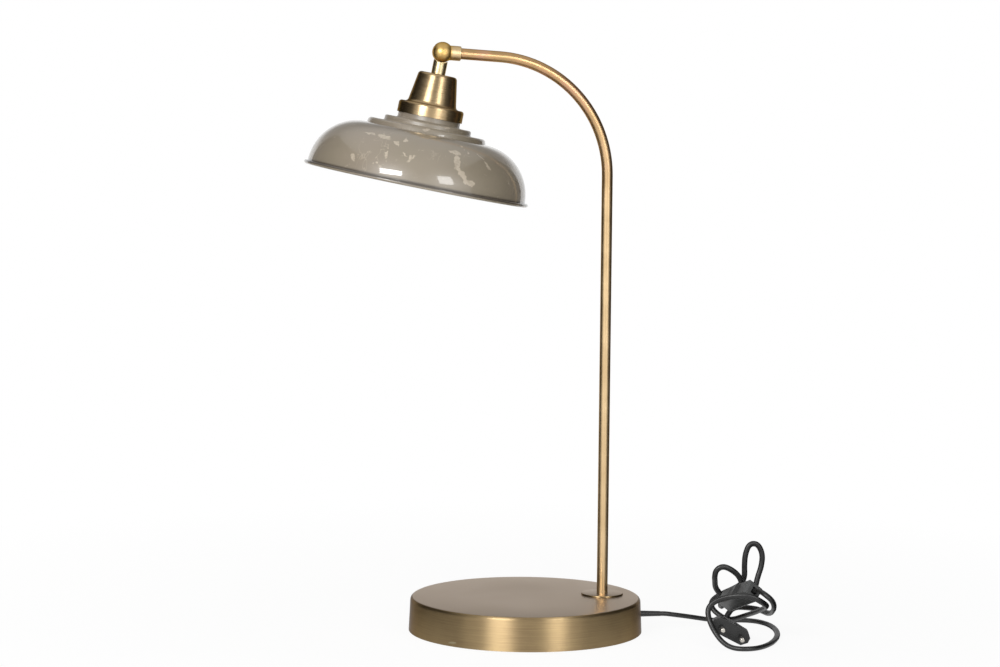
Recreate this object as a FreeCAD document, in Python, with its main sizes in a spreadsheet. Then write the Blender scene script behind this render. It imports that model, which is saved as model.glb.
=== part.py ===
# Table lamp: a round weighted base, an arched brass tube, a ball joint and a spun enamel shade,
# with a flat mains cord, an in-line rocker switch and a flat plug.
# Millimetres, +Z up, origin at the centre of the base's underside, +X from there to the post's foot.

import FreeCAD, Part
import math
import os
from types import SimpleNamespace

import Sketcher
from FreeCAD import Placement, Rotation, Vector

# Driving dimensions: every alias below is a cell of the sheet
SIZES = {
    # base
    "baseRadius": 102.0,        # side wall at its lower edge
    "baseDraft": 1.4,           # how much narrower the side wall is under the rounded top edge
    "baseHeight": 30.0,
    "baseEdge": 3.0,            # radius of the rounded top edge
    "baseWall": 1.2,
    "baseLift": 0.6,            # the pan's lower edge stands clear of the table
    "padInset": 5.0,            # the pad and the weight stand this far in from the side wall
    "padThick": 1.6,
    "plateThick": 2.0,
    "weightInset": 18.0,
    "weightThick": 14.0,
    "notchReach": 23.0,         # the weight is cut away from here inward of the post, and outward
    "notchWidth": 44.0,
    "lugInset": 40.0,           # from the side wall to the circle of the three threaded lugs
    "lugRadius": 5.0,
    "lugTurn": 60.0,            # angle of the first lug
    "plateScrewRadius": 2.0,
    "plateScrewHead": 4.0,
    "lugRoof": 3.2,             # solid end of a lug over its screw
    # post and arm
    "postInset": 33.0,          # from the side wall to the post's centre
    "tubeRadius": 4.75,
    "tubeWall": 0.9,
    "tubeFoot": 21.6,           # height of the tube's lower end, inside the base
    "bendStart": 398.0,         # height where the straight post ends
    "bendRadius": 103.0,        # centreline of the bend
    "bendAngle": 86.0,
    "armReach": 50.7,           # straight part of the arm, from the bend to the ball's centre
    "flangeRadius": 18.3,
    "flangeThick": 1.4,
    "flangeEdge": 0.6,
    "footWasherRadius": 11.0,
    "footWasherThick": 1.0,
    "footNutFlats": 14.0,
    "footNutThick": 4.6,
    # ball joint
    "ballRadius": 9.0,
    "collarRadius": 6.3,
    "collarReach": 15.8,        # from the ball's centre to the collar's open end
    "collarChamfer": 0.5,
    "tubeSocketStart": 9.4,     # from the ball's centre to the shoulder that the tube meets
    "ballBore": 3.0,            # cord passage from the tube into the ball
    "slotWidth": 6.0,
    "slotClear": 7.1,           # radius cleared round the pivot
    "slotHalf": 6.0,            # clear half width for the tongue's stem
    "pivotRadius": 1.9,
    "pivotHead": 3.3,
    "pivotHeadCone": 2.2,
    "pivotTip": 8.6,            # from the ball's centre to the screw's visible end
    "driverSlot": 0.7,
    "driverDepth": 0.9,
    "tongueThick": 4.0,
    "tongueRadius": 6.2,
    "tongueHalf": 4.4,
    "frictionRadius": 5.2,
    "frictionThick": 0.85,
    "tilt": 11.2,               # the head's lean from upright, in degrees
    # neck and nipple
    "neckRadius": 6.05,
    "neckLength": 19.1,         # from the ball's centre to the face on the cap
    "neckBore": 3.4,
    "neckBoreTop": 11.6,
    "leadHole": 1.25,
    "leadHoleOffset": 3.7,
    "nippleRadius": 5.0,
    "nippleBore": 3.6,
    "threadTop": 13.6,          # upper end of the thread in the neck
    "nippleTop": 15.6,
    "nippleEnd": 33.0,
    "capNutFlats": 14.0,
    "capNutThick": 3.0,
    # brass cap over the lampholder
    "capWall": 0.8,
    "capTopRadius": 17.0,
    "capTopEdge": 2.5,
    "capConeRadius": 20.6,      # foot of the cone
    "capConeDrop": 23.6,        # from the cap's top to the cone's foot
    "capFillet": 2.4,
    "ringRadius": 28.3,
    "ringEdge": 2.4,
    "ringDrop": 27.2,           # from the cap's top to the ring's shoulder
    "ringFoot": 37.6,           # from the cap's top to the ring's lower edge
    # shade, heights measured down from the ball's centre along the head's axis
    "shadeWall": 1.0,
    "shadeHole": 20.2,
    "shadeTop": 54.6,
    "shadeNeckRadius": 27.0,
    "shadeNeckEdge": 1.4,
    "shadeStepOne": 61.4,       # foot of the neck and top of the first step
    "stepOneRadius": 37.6,
    "stepTwoRadius": 50.8,
    "stepTwoTop": 66.2,
    "stepEdge": 1.8,
    "domeInner": 51.8,          # radius where the dome begins
    "domeRadius": 43.2,
    "domeFoot": 113.6,
    "beadCentre": 96.3,
    "beadRadius": 1.7,
    "beadDrop": 114.4,
    # lampholder, heights measured down from the ball's centre along the head's axis
    "holderTop": 23.8,
    "holderDomeTop": 14.0,
    "holderDomeRadius": 17.2,
    "holderDomeEdge": 3.0,
    "holderJoin": 46.0,
    "holderSkirtRadius": 19.0,
    "holderFoot": 79.0,
    "holderWall": 1.4,
    "holderMouth": 15.6,
    "socketRadius": 13.35,      # inner wall of the screw shell
    "socketWall": 0.4,
    "socketNeck": 12.2,         # narrow stretch above the thread
    "socketTop": 52.0,
    "socketFoot": 76.4,
    "insulatorTop": 38.0,
    "insulatorFloor": 47.6,
    "clampRingOuter": 25.6,
    "clampRingInner": 19.35,
    "clampRingUpper": 3.6,
    "clampRingLower": 6.4,
    "contactWidth": 4.2,
    "contactThick": 0.5,
    "contactReach": 10.0,
    "contactLift": 3.2,
    "terminalOffset": 9.0,
    "terminalRadius": 1.7,
    "terminalHead": 2.8,
    # cord and its fittings
    "cordRadius": 2.2,
    "exitHeight": 11.2,
    "grommetFlange": 5.4,
    "grommetBody": 4.3,
    "grommetLip": 1.3,
    "reliefLength": 20.0,
    "reliefRadius": 2.9,
    "reliefTip": 2.55,
    "reliefGap": 0.05,          # between the cord and the sleeve round it
    "clampInset": 16.0,         # from the side wall to the clamp's middle
    "clampLength": 7.0,
    "clampWidth": 20.0,
    "clampBar": 3.0,
    "clampScrewOffset": 6.6,
    "clampScrewRadius": 1.3,
    "clampScrewHead": 2.4,
    "clampScrewHeadThick": 1.4,
    "cordBend": 8.0,            # bend of the cord where it turns up into the tube
    "inletStraight": 10.7,      # straight cord before the switch's port
    "outletStraight": 5.0,      # straight cord after the switch's other port
    "plugStraight": 8.0,        # straight cord before the plug's relief
    "cordStop": 7.6,            # from the ball's centre to the cord's end inside the joint
    "leadRadius": 1.0,          # insulated leads in the head
    # switch, in its own frame: X along the cord, Z out of the rocker, origin on the seam
    "switchX": 173.0,
    "switchY": -78.0,
    "switchZ": 39.4,
    "switchYaw": -73.5,
    "switchPitch": -20.5,
    "switchRoll": 49.0,
    "switchLength": 48.0,
    "switchWidth": 16.5,
    "switchEndWidth": 13.5,
    "switchTaper": 13.0,        # length of the tapered stretch at each end
    "switchUpper": 8.0,
    "switchLower": 6.5,
    "switchEdge": 1.8,
    "portWidth": 6.4,
    "portHeight": 5.2,
    "portDepth": 3.0,
    "rockerLength": 17.0,
    "rockerWidth": 9.4,
    "rockerRise": 1.6,
    "rockerDish": 40.0,         # radius of the rocker's hollow top
    "rockerBoss": 2.2,
    "rockerTilt": 9.0,
    "trunnionRadius": 1.2,
    "trunnionLength": 13.0,
    "trunnionDepth": 3.4,
    "pocketDepth": 6.8,
    "rockerGap": 0.5,
    "switchScrewX": 14.5,
    "switchScrewRadius": 1.2,
    "switchScrewHead": 2.3,
    "switchScrewSink": 2.0,
    "switchScrewReach": 4.0,    # length of thread in the upper half
    # plug, in its own frame: X along the pins, Y across them, origin on the face
    "plugX": 159.5,
    "plugY": -98.0,
    "plugZ": 12.8,
    "plugYaw": -100.5,
    "plugPitch": -0.5,
    "plugRoll": -27.0,
    "plugLength": 35.0,
    "plugWidth": 35.3,
    "plugThick": 13.7,
    "plugCrown": 26.1,          # width that has the full thickness
    "plugShoulder": 9.0,        # from the face to the start of the waist
    "plugWaist": 34.0,          # radius of the hollow sides
    "plugTail": 12.0,
    "plugTailThick": 10.0,
    "pinSpacing": 18.6,
    "pinRadius": 2.0,
    "pinCore": 1.35,            # radius inside the sleeve and the plug
    "pinLength": 19.0,
    "pinTip": 0.8,
    "pinSleeve": 10.0,
    "pinSleeveRadius": 1.8,
    "pinRoot": 6.0,
    "plugRelief": 16.0,
    "plugReliefRadius": 3.4,
    "plugReliefTip": 2.6,
    # clearances
    "fitGap": 0.1,              # round a piece in its own hole
    "tableGap": 0.1,            # under the cord where it lies on the table
    "runGap": 0.05,             # round a hinge pin
    "partGap": 0.3,             # between curved faces
    "overrun": 2.0,             # how far a cutter passes a face
}


class Dim(float):
    """A number that also carries its formula over the sheet's cells."""

    def __new__(cls, value, text=None):
        dim = float.__new__(cls, value)
        dim.text = text or repr(float(value))
        return dim

    def __add__(self, other):
        return Dim(float(self) + float(other), f"({self.text} + {textOf(other)})")

    def __radd__(self, other):
        return Dim(float(other) + float(self), f"({textOf(other)} + {self.text})")

    def __sub__(self, other):
        return Dim(float(self) - float(other), f"({self.text} - {textOf(other)})")

    def __rsub__(self, other):
        return Dim(float(other) - float(self), f"({textOf(other)} - {self.text})")

    def __mul__(self, other):
        return Dim(float(self) * float(other), f"({self.text} * {textOf(other)})")

    def __rmul__(self, other):
        return Dim(float(other) * float(self), f"({textOf(other)} * {self.text})")

    def __truediv__(self, other):
        return Dim(float(self) / float(other), f"({self.text} / {textOf(other)})")

    def __neg__(self):
        return Dim(-float(self), f"(-{self.text})")


def textOf(value):
    return value.text if isinstance(value, Dim) else repr(float(value))


def root(value):
    return Dim(math.sqrt(value), f"sqrt({textOf(value)})")


def sine(angle):
    return Dim(math.sin(math.radians(angle)), f"sin({textOf(angle)})")


def cosine(angle):
    return Dim(math.cos(math.radians(angle)), f"cos({textOf(angle)})")


doc = FreeCAD.newDocument("TableLamp")
sheet = doc.addObject("Spreadsheet::Sheet", "Sizes")
for row, (alias, value) in enumerate(SIZES.items(), start=1):
    sheet.set(f"A{row}", alias)
    sheet.set(f"B{row}", str(value))
    sheet.setAlias(f"B{row}", alias)
doc.recompute()
d = SimpleNamespace(**{alias: Dim(sheet.get(alias), f"Sizes.{alias}") for alias in SIZES})

pieces = []   # the objects that are written out, in order


# Helpers for sketches, solids and placements

def bind(item, **values):
    """Set properties and tie each one to its formula."""
    for name, value in values.items():
        setattr(item, name, float(value))
        item.setExpression(name, textOf(value))
    return item


def at(item, x=0, y=0, z=0, axis=(0, 0, 1), angle=0):
    """Place an item and tie its position to the sheet."""
    item.Placement = Placement(Vector(x, y, z), Rotation(Vector(*axis), angle))
    for name, value in (("x", x), ("y", y), ("z", z)):
        if isinstance(value, Dim):
            item.setExpression(f"Placement.Base.{name}", value.text)
    return item


def newSketch(body, role):
    sketch = body.newObject("Sketcher::SketchObject", "Profile")
    plane = next(item for item in body.Origin.OriginFeatures if item.Role == role)
    sketch.AttachmentSupport = [(plane, "")]
    sketch.MapMode = "FlatFace"
    return sketch


def fix(sketch, kind, geometry, point, value):
    """Add a driving constraint and tie it to its formula."""
    if point is None:
        index = sketch.addConstraint(Sketcher.Constraint(kind, geometry, float(value)))
    else:
        index = sketch.addConstraint(Sketcher.Constraint(kind, geometry, point, float(value)))
    if isinstance(value, Dim):
        sketch.setExpression(f"Constraints[{index}]", value.text)


def arcCentre(start, end, radius):
    """Centre of the short arc from start to end. A positive radius turns clockwise."""
    across = Vector(end[0] - start[0], end[1] - start[1], 0)
    rise = math.sqrt(max(0, radius * radius - across.Length ** 2 / 4))
    side = Vector(across.y, -across.x, 0).normalize()
    middle = Vector((start[0] + end[0]) / 2, (start[1] + end[1]) / 2, 0)
    return middle + side * math.copysign(rise, radius)


def draw(sketch, corners, closed=True):
    """Draw a chain of lines and arcs. A corner with a third value starts an arc of that radius."""
    count = len(corners)
    spans = count if closed else count - 1
    ends = []
    for number in range(spans):
        start = corners[number]
        end = corners[(number + 1) % count]
        if len(start) == 2:
            line = Part.LineSegment(Vector(start[0], start[1], 0), Vector(end[0], end[1], 0))
            ends.append((sketch.addGeometry(line), 1, 2))
            continue
        centre = arcCentre(start, end, start[2])
        first = math.atan2(start[1] - centre.y, start[0] - centre.x)
        last = math.atan2(end[1] - centre.y, end[0] - centre.x)
        clockwise = start[2] > 0
        circle = Part.Circle(centre, Vector(0, 0, 1), abs(float(start[2])))
        span = (last, first) if clockwise else (first, last)
        index = sketch.addGeometry(Part.ArcOfCircle(circle, *span))
        ends.append((index, 2, 1) if clockwise else (index, 1, 2))
        radius = start[2] if clockwise else -start[2]
        fix(sketch, "Radius", index, None, radius)
    for number, (index, first, last) in enumerate(ends):
        fix(sketch, "DistanceX", index, first, corners[number][0])
        fix(sketch, "DistanceY", index, first, corners[number][1])
        if closed or number + 1 < len(ends):
            nextIndex, nextFirst, _ = ends[(number + 1) % len(ends)]
            sketch.addConstraint(Sketcher.Constraint("Coincident", index, last, nextIndex, nextFirst))
        else:
            fix(sketch, "DistanceX", index, last, corners[-1][0])
            fix(sketch, "DistanceY", index, last, corners[-1][1])


def circle(sketch, x, y, radius):
    index = sketch.addGeometry(Part.Circle(Vector(x, y, 0), Vector(0, 0, 1), float(radius)))
    fix(sketch, "Radius", index, None, radius)
    fix(sketch, "DistanceX", index, 3, x)
    fix(sketch, "DistanceY", index, 3, y)


def turned(name, corners):
    """A solid of revolution about Z: corners are (radius, height) pairs."""
    body = doc.addObject("PartDesign::Body", name)
    sketch = newSketch(body, "XZ_Plane")
    draw(sketch, corners)
    spin = body.newObject("PartDesign::Revolution", "Revolution")
    spin.Profile = sketch
    spin.ReferenceAxis = (sketch, ["V_Axis"])
    spin.Angle = 360
    return body


def spun(name, corners, wall):
    """Sheet metal spun about Z: an open line of (radius, height) pairs, thickened by wall."""
    line = doc.addObject("Sketcher::SketchObject", name + "Line")
    line.Placement = Placement(Vector(), Rotation(Vector(1, 0, 0), 90))
    draw(line, corners, closed=False)
    section = doc.addObject("Part::Offset2D", name + "Section")
    section.Source = line
    section.Fill = True
    section.Mode = "Skin"
    bind(section, Value=-wall)
    shell = doc.addObject("Part::Revolution", name)
    shell.Source = section
    shell.Axis = Vector(0, 0, 1)
    shell.Angle = 360
    shell.Solid = True
    return shell


def padded(name, height, outlines=(), circles=(), role="XY_Plane"):
    """A flat piece: outlines and circles in one sketch, padded by height."""
    body = doc.addObject("PartDesign::Body", name)
    sketch = newSketch(body, role)
    for corners in outlines:
        draw(sketch, corners)
    for x, y, radius in circles:
        circle(sketch, x, y, radius)
    pad = body.newObject("PartDesign::Pad", "Pad")
    pad.Profile = sketch
    bind(pad, Length=height)
    return body


def rod(name, radius, height, **place):
    item = doc.addObject("Part::Cylinder", name)
    bind(item, Radius=radius, Height=height)
    return at(item, **place)


def block(name, length, width, height, x=0, y=0, z=0):
    """A box centred on x and y, standing on z."""
    item = doc.addObject("Part::Box", name)
    bind(item, Length=length, Width=width, Height=height)
    return at(item, x=x - length / 2, y=y - width / 2, z=z)


def taper(name, low, high, height, **place):
    item = doc.addObject("Part::Cone", name)
    bind(item, Radius1=low, Radius2=high, Height=height)
    return at(item, **place)


def fused(name, *items):
    item = doc.addObject("Part::MultiFuse", name)
    item.Shapes = list(items)
    return item


def minus(name, base, *tools):
    item = doc.addObject("Part::Cut", name)
    item.Base = base
    item.Tool = tools[0] if len(tools) == 1 else fused(name + "Tools", *tools)
    return item


def moulded(name, plan, ends, side, length, width, height):
    """A moulded form: what its outlines from above, from one end and from the side share."""
    above = padded(name + "Plan", height, outlines=[plan])
    along = padded(name + "Ends", length, outlines=[ends], role="YZ_Plane")
    across = padded(name + "Side", width, outlines=[side], role="XZ_Plane")
    item = doc.addObject("Part::MultiCommon", name)
    item.Shapes = [above, along, across]
    return item, above, along, across


def together(name, *items):
    """Identical pieces that share one node, as separate solids."""
    item = doc.addObject("Part::Compound", name)
    item.Links = list(items)
    return item


def hexagon(flats):
    """Corners of a hexagon of the given width across flats."""
    reach = flats / math.sqrt(3)
    return [(reach * cosine(Dim(60 * turn)), reach * sine(Dim(60 * turn))) for turn in range(6)]


def nut(name, flats, thick, bore, z):
    """A hexagon nut with its lower face at z."""
    body = padded(name, thick, outlines=[hexagon(flats)], circles=[(0, 0, bore)])
    return at(body, z=z)


def piece(item, node, place=None):
    """Name a sub-part, put it in its frame and list it for writing."""
    item.Label = node
    if place is not None:
        item.Placement = place.multiply(item.Placement)
        for name in "xyz":
            item.setExpression(f"Placement.Base.{name}", None)
    pieces.append(item)
    return item


# Frames of the arm's end, the head, the switch and the plug

postX = d.baseRadius - d.postInset
bendCentreX = postX - d.bendRadius
armEnd = Vector(bendCentreX + d.bendRadius * cosine(d.bendAngle), 0,
                d.bendStart + d.bendRadius * sine(d.bendAngle))
armWay = Vector(-math.sin(math.radians(d.bendAngle)), 0, math.cos(math.radians(d.bendAngle)))
ballCentre = armEnd + armWay * d.armReach
armPlace = Placement(ballCentre, Rotation(Vector(0, 1, 0), 90 - d.bendAngle))
headPlace = Placement(ballCentre, Rotation(Vector(0, 1, 0), d.tilt))
switchPlace = Placement(Vector(d.switchX, d.switchY, d.switchZ),
                        Rotation(d.switchYaw, d.switchPitch, d.switchRoll))
plugPlace = Placement(Vector(d.plugX, d.plugY, d.plugZ),
                      Rotation(d.plugYaw, d.plugPitch, d.plugRoll))


def alongX(place):
    """Turn a piece made about Z so that it lies along X of the given frame."""
    return place.multiply(Placement(Vector(), Rotation(Vector(0, 1, 0), 90)))


def alongY(place):
    """Turn a piece made about Z so that it lies along Y of the given frame."""
    return place.multiply(Placement(Vector(), Rotation(Vector(1, 0, 0), -90)))


# Base

baseTopRadius = d.baseRadius - d.baseDraft
clampX = d.baseRadius - d.clampInset
plateTop = d.padThick + d.plateThick
weightTop = plateTop + d.weightThick
panCeiling = d.baseHeight - d.baseWall
exitDrop = (d.baseHeight - d.baseEdge - d.exitHeight) / (d.baseHeight - d.baseEdge - d.baseLift)
exitRadius = baseTopRadius + (d.baseRadius - baseTopRadius) * exitDrop
lugRing = d.baseRadius - d.lugInset
lugs = [(lugRing * cosine(d.lugTurn + 120 * turn), lugRing * sine(d.lugTurn + 120 * turn))
        for turn in range(3)]


def makeBase():
    pan = spun("Pan", [
        (0, d.baseHeight),
        (baseTopRadius - d.baseEdge, d.baseHeight, d.baseEdge),
        (baseTopRadius, d.baseHeight - d.baseEdge),
        (d.baseRadius, d.baseLift)], d.baseWall)
    footHole = rod("FootHole", d.tubeRadius + d.fitGap, d.baseWall + 2 * d.overrun,
                   x=postX, z=panCeiling - d.overrun)
    exitHole = rod("ExitHole", d.grommetBody + d.fitGap, d.baseWall * 6,
                   x=exitRadius - d.baseWall * 3, z=d.exitHeight, axis=(0, 1, 0), angle=90)
    piece(minus("PanDrilled", pan, footHole, exitHole), "base_shell")

    weightRadius = d.baseRadius - d.weightInset
    notch = block("Notch", weightRadius, d.notchWidth, d.weightThick + 2 * d.overrun,
                  x=postX - d.notchReach + weightRadius / 2, z=plateTop - d.overrun)
    disc = padded("WeightDisc", d.weightThick, circles=[(0, 0, weightRadius)] + [
        (x, y, d.plateScrewRadius + d.fitGap) for x, y in lugs])
    at(disc, z=plateTop)
    piece(minus("WeightCut", disc, notch), "base_weight")

    plateRadius = d.baseRadius - d.baseWall - d.partGap - d.baseWall
    plate = padded("PlateDisc", d.plateThick, circles=[(0, 0, plateRadius)])
    at(plate, z=d.padThick)
    sinks = [taper(f"Sink{number}", d.plateScrewHead + d.fitGap, d.plateScrewRadius + d.fitGap,
                   d.plateThick, x=x, y=y, z=d.padThick) for number, (x, y) in enumerate(lugs)]
    piece(minus("PlateSunk", plate, *sinks), "base_plate")
    pad = padded("PadDisc", d.padThick, circles=[(0, 0, d.baseRadius - d.padInset)])
    piece(pad, "base_pad")

    lugParts = []
    screws = []
    lugHeight = panCeiling - weightTop
    for number, (x, y) in enumerate(lugs):
        lug = padded(f"Lug{number}", lugHeight, circles=[(0, 0, d.lugRadius)])
        hole = rod(f"LugHole{number}", d.plateScrewRadius + d.fitGap, lugHeight - d.lugRoof / 2)
        bored = minus(f"LugBored{number}", lug, hole)
        lugParts.append(at(bored, x=x, y=y, z=weightTop))
        screwTop = d.plateThick + d.weightThick + lugHeight - d.lugRoof
        screw = turned(f"PlateScrew{number}", [
            (0, 0), (d.plateScrewHead, 0), (d.plateScrewRadius, d.plateThick),
            (d.plateScrewRadius, screwTop), (0, screwTop)])
        screws.append(at(screw, x=x, y=y, z=d.padThick))
    piece(together("Lugs", *lugParts), "base_lugs")
    piece(together("PlateScrews", *screws), "base_screws")


# Post, arm and their fastening in the base

def centreline(foot, reach):
    """The tube's centreline from a height in the base to a distance short of the ball's centre."""
    bendMiddle = Vector(bendCentreX + d.bendRadius * cosine(d.bendAngle / 2), 0,
                        d.bendStart + d.bendRadius * sine(d.bendAngle / 2))
    bendFoot = Vector(postX, 0, d.bendStart)
    stop = ballCentre - armWay * reach
    return [
        Part.LineSegment(Vector(postX, 0, foot), bendFoot).toShape(),
        Part.Arc(bendFoot, bendMiddle, armEnd).toShape(),
        Part.LineSegment(armEnd, stop).toShape()]


def swept(edges, radius, bore=None):
    """A round bar, or a tube when bore is given, along a chain of lines and arcs."""
    path = Part.Wire(edges)
    start = edges[0].valueAt(edges[0].FirstParameter)
    way = edges[0].tangentAt(edges[0].FirstParameter)
    ring = Part.Wire([Part.Circle(start, way, float(radius)).toShape()])
    solid = path.makePipeShell([ring], True, False)
    if bore is not None:
        inner = Part.Wire([Part.Circle(start, way, float(bore)).toShape()])
        solid = solid.cut(path.makePipeShell([inner], True, False))
    return solid


def feature(name, shape):
    item = doc.addObject("Part::Feature", name)
    item.Shape = shape
    return item


def makePost():
    tube = swept(centreline(d.tubeFoot, d.tubeSocketStart + d.fitGap), d.tubeRadius,
                 d.tubeRadius - d.tubeWall)
    piece(feature("PostTube", tube), "post_tube")

    flange = turned("Flange", [
        (d.tubeRadius + d.fitGap, 0), (d.flangeRadius, 0),
        (d.flangeRadius, d.flangeThick - d.flangeEdge, -d.flangeEdge),
        (d.flangeRadius - d.flangeEdge, d.flangeThick), (d.tubeRadius + d.fitGap, d.flangeThick)])
    piece(at(flange, x=postX, z=d.baseHeight), "post_flange")

    washer = padded("FootWasher", d.footWasherThick,
                    circles=[(0, 0, d.footWasherRadius), (0, 0, d.tubeRadius + d.fitGap)])
    washerFoot = panCeiling - d.footWasherThick
    piece(at(washer, x=postX, z=washerFoot), "post_washer")
    clampNut = nut("FootNut", d.footNutFlats, d.footNutThick, d.tubeRadius + d.fitGap,
                   washerFoot - d.footNutThick)
    piece(at(clampNut, x=postX, z=washerFoot - d.footNutThick), "post_nut")


# Ball joint at the arm's end, in the arm's frame: X along the collar, Y along the pivot

def makeJoint():
    ball = doc.addObject("Part::Sphere", "Ball")
    bind(ball, Radius=d.ballRadius)
    seat = root(d.ballRadius * d.ballRadius - d.collarRadius * d.collarRadius)
    collarStart = seat - d.overrun
    sleeve = turned("Collar", [
        (0, collarStart), (d.collarRadius, collarStart),
        (d.collarRadius, d.collarReach - d.collarChamfer),
        (d.collarRadius - d.collarChamfer, d.collarReach), (0, d.collarReach)])
    at(sleeve, axis=(0, 1, 0), angle=90)
    socket = rod("TubeSocket", d.tubeRadius + d.fitGap, d.collarReach, x=d.tubeSocketStart,
                 axis=(0, 1, 0), angle=90)
    passage = rod("CordPassage", d.ballBore, d.collarReach, axis=(0, 1, 0), angle=90)
    cleared = rod("SlotRound", d.slotClear, d.slotWidth, y=d.slotWidth / 2,
                  axis=(1, 0, 0), angle=90)
    side = d.ballRadius + d.slotHalf + d.overrun
    opening = block("SlotOpening", side, d.slotWidth, side,
                    x=d.slotHalf - side / 2, z=d.slotHalf - side)
    screwWay = rod("ScrewWay", d.pivotRadius + d.runGap, 2 * (d.ballRadius + d.overrun),
                   y=d.ballRadius + d.overrun, axis=(1, 0, 0), angle=90)
    headSeat = root(d.ballRadius * d.ballRadius - d.pivotHead * d.pivotHead)
    sink = taper("ScrewSink", d.pivotRadius + d.runGap, d.pivotHead + d.runGap, d.pivotHeadCone,
                 y=headSeat - d.pivotHeadCone, axis=(1, 0, 0), angle=-90)
    mouth = rod("ScrewMouth", d.pivotHead + d.runGap, d.overrun, y=headSeat,
                axis=(1, 0, 0), angle=-90)
    body = minus("BallCut", fused("BallAndCollar", ball, sleeve), socket, passage, cleared,
                 opening, screwWay, sink, mouth)
    piece(body, "joint_ball", armPlace)

    shank = turned("PivotShank", [
        (0, -d.pivotTip), (d.pivotRadius, -d.pivotTip), (d.pivotRadius, headSeat - d.pivotHeadCone),
        (d.pivotHead, headSeat), (0, headSeat)])
    driver = block("PivotSlot", 2 * d.ballRadius, d.driverSlot, d.driverDepth + d.overrun,
                   z=headSeat - d.driverDepth)
    piece(minus("PivotScrew", shank, driver), "pivot_screw", alongY(armPlace))

    washers = []
    for number, side in enumerate((-1, 1)):
        washer = padded(f"FrictionWasher{number}", d.frictionThick,
                        circles=[(0, 0, d.frictionRadius), (0, 0, d.pivotRadius + d.runGap)])
        low = d.tongueThick / 2 + d.runGap
        washers.append(at(washer, z=low if side > 0 else -low - d.frictionThick))
    piece(together("FrictionWashers", *washers), "friction_washers", alongY(armPlace))


# Head, in its own frame: origin at the ball's centre, Z up its axis

capTop = -d.neckLength
coneFoot = capTop - d.capConeDrop
ringShoulder = capTop - d.ringDrop


def makeNeck():
    reach = d.neckLength
    stem = rod("NeckStem", d.neckRadius, reach, z=-reach)
    ballRoom = rod("BallRoom", d.ballRadius + d.partGap, 2 * reach, y=reach,
                   axis=(1, 0, 0), angle=90)
    saddle = minus("NeckSaddle", stem, ballRoom)
    disc = rod("TongueDisc", d.tongueRadius, d.tongueThick, y=d.tongueThick / 2,
               axis=(1, 0, 0), angle=90)
    web = block("TongueWeb", 2 * d.tongueHalf, d.tongueThick, d.neckBoreTop, z=-d.neckBoreTop)
    pivotHole = rod("TongueHole", d.pivotRadius + d.runGap, 2 * d.tongueThick, y=d.tongueThick,
                    axis=(1, 0, 0), angle=90)
    bore = rod("NeckBore", d.neckBore, reach, z=-reach - d.neckBoreTop)
    thread = rod("NeckThread", d.nippleRadius + d.fitGap, reach, z=-reach - d.threadTop)
    leadWays = [rod(f"LeadWay{number}", d.leadHole, d.neckBoreTop, y=y, z=-d.neckBoreTop - d.overrun)
                for number, y in enumerate((-d.leadHoleOffset, d.leadHoleOffset))]
    body = minus("NeckCut", fused("NeckAndTongue", saddle, disc, web), pivotHole, bore, thread,
                 *leadWays)
    piece(body, "head_neck", headPlace)

    nipple = padded("Nipple", d.nippleEnd - d.nippleTop,
                    circles=[(0, 0, d.nippleRadius), (0, 0, d.nippleBore)])
    piece(at(nipple, z=-d.nippleEnd), "nipple", headPlace)
    nutTop = capTop - d.capWall
    capNut = nut("CapNut", d.capNutFlats, d.capNutThick, d.nippleRadius + d.fitGap,
                 nutTop - d.capNutThick)
    piece(capNut, "cap_nut", headPlace)


def makeCap():
    cone = (d.capConeRadius - d.capTopRadius) / (d.capConeDrop - d.capTopEdge)
    cap = spun("Cap", [
        (d.nippleRadius + d.fitGap, capTop),
        (d.capTopRadius - d.capTopEdge, capTop, d.capTopEdge),
        (d.capTopRadius, capTop - d.capTopEdge),
        (d.capConeRadius, coneFoot, -d.capFillet),
        (d.capConeRadius + d.capFillet * (1 - cone), ringShoulder),
        (d.ringRadius - d.ringEdge, ringShoulder, d.ringEdge),
        (d.ringRadius, ringShoulder - d.ringEdge),
        (d.ringRadius, capTop - d.ringFoot)], d.capWall)
    piece(cap, "shade_cap", headPlace)


def makeShade():
    edge = d.shadeNeckEdge
    step = d.stepEdge
    shell = spun("ShadeShell", [
        (d.shadeHole, -d.shadeTop),
        (d.shadeNeckRadius - edge, -d.shadeTop, edge),
        (d.shadeNeckRadius, -d.shadeTop - edge),
        (d.shadeNeckRadius, -d.shadeStepOne + edge, -edge),
        (d.shadeNeckRadius + edge, -d.shadeStepOne),
        (d.stepOneRadius - step, -d.shadeStepOne, step),
        (d.stepOneRadius, -d.shadeStepOne - step),
        (d.stepOneRadius, -d.stepTwoTop + edge, -edge),
        (d.stepOneRadius + edge, -d.stepTwoTop),
        (d.stepTwoRadius - step, -d.stepTwoTop, step),
        (d.stepTwoRadius, -d.stepTwoTop - step),
        (d.domeInner, -d.domeFoot + d.domeRadius, d.domeRadius),
        (d.domeInner + d.domeRadius, -d.domeFoot)], d.shadeWall)
    bead = doc.addObject("Part::Torus", "RimBead")
    bind(bead, Radius1=d.beadCentre, Radius2=d.beadRadius)
    at(bead, z=-d.beadDrop)
    piece(fused("ShadeAndBead", shell, bead), "shade", headPlace)


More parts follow.
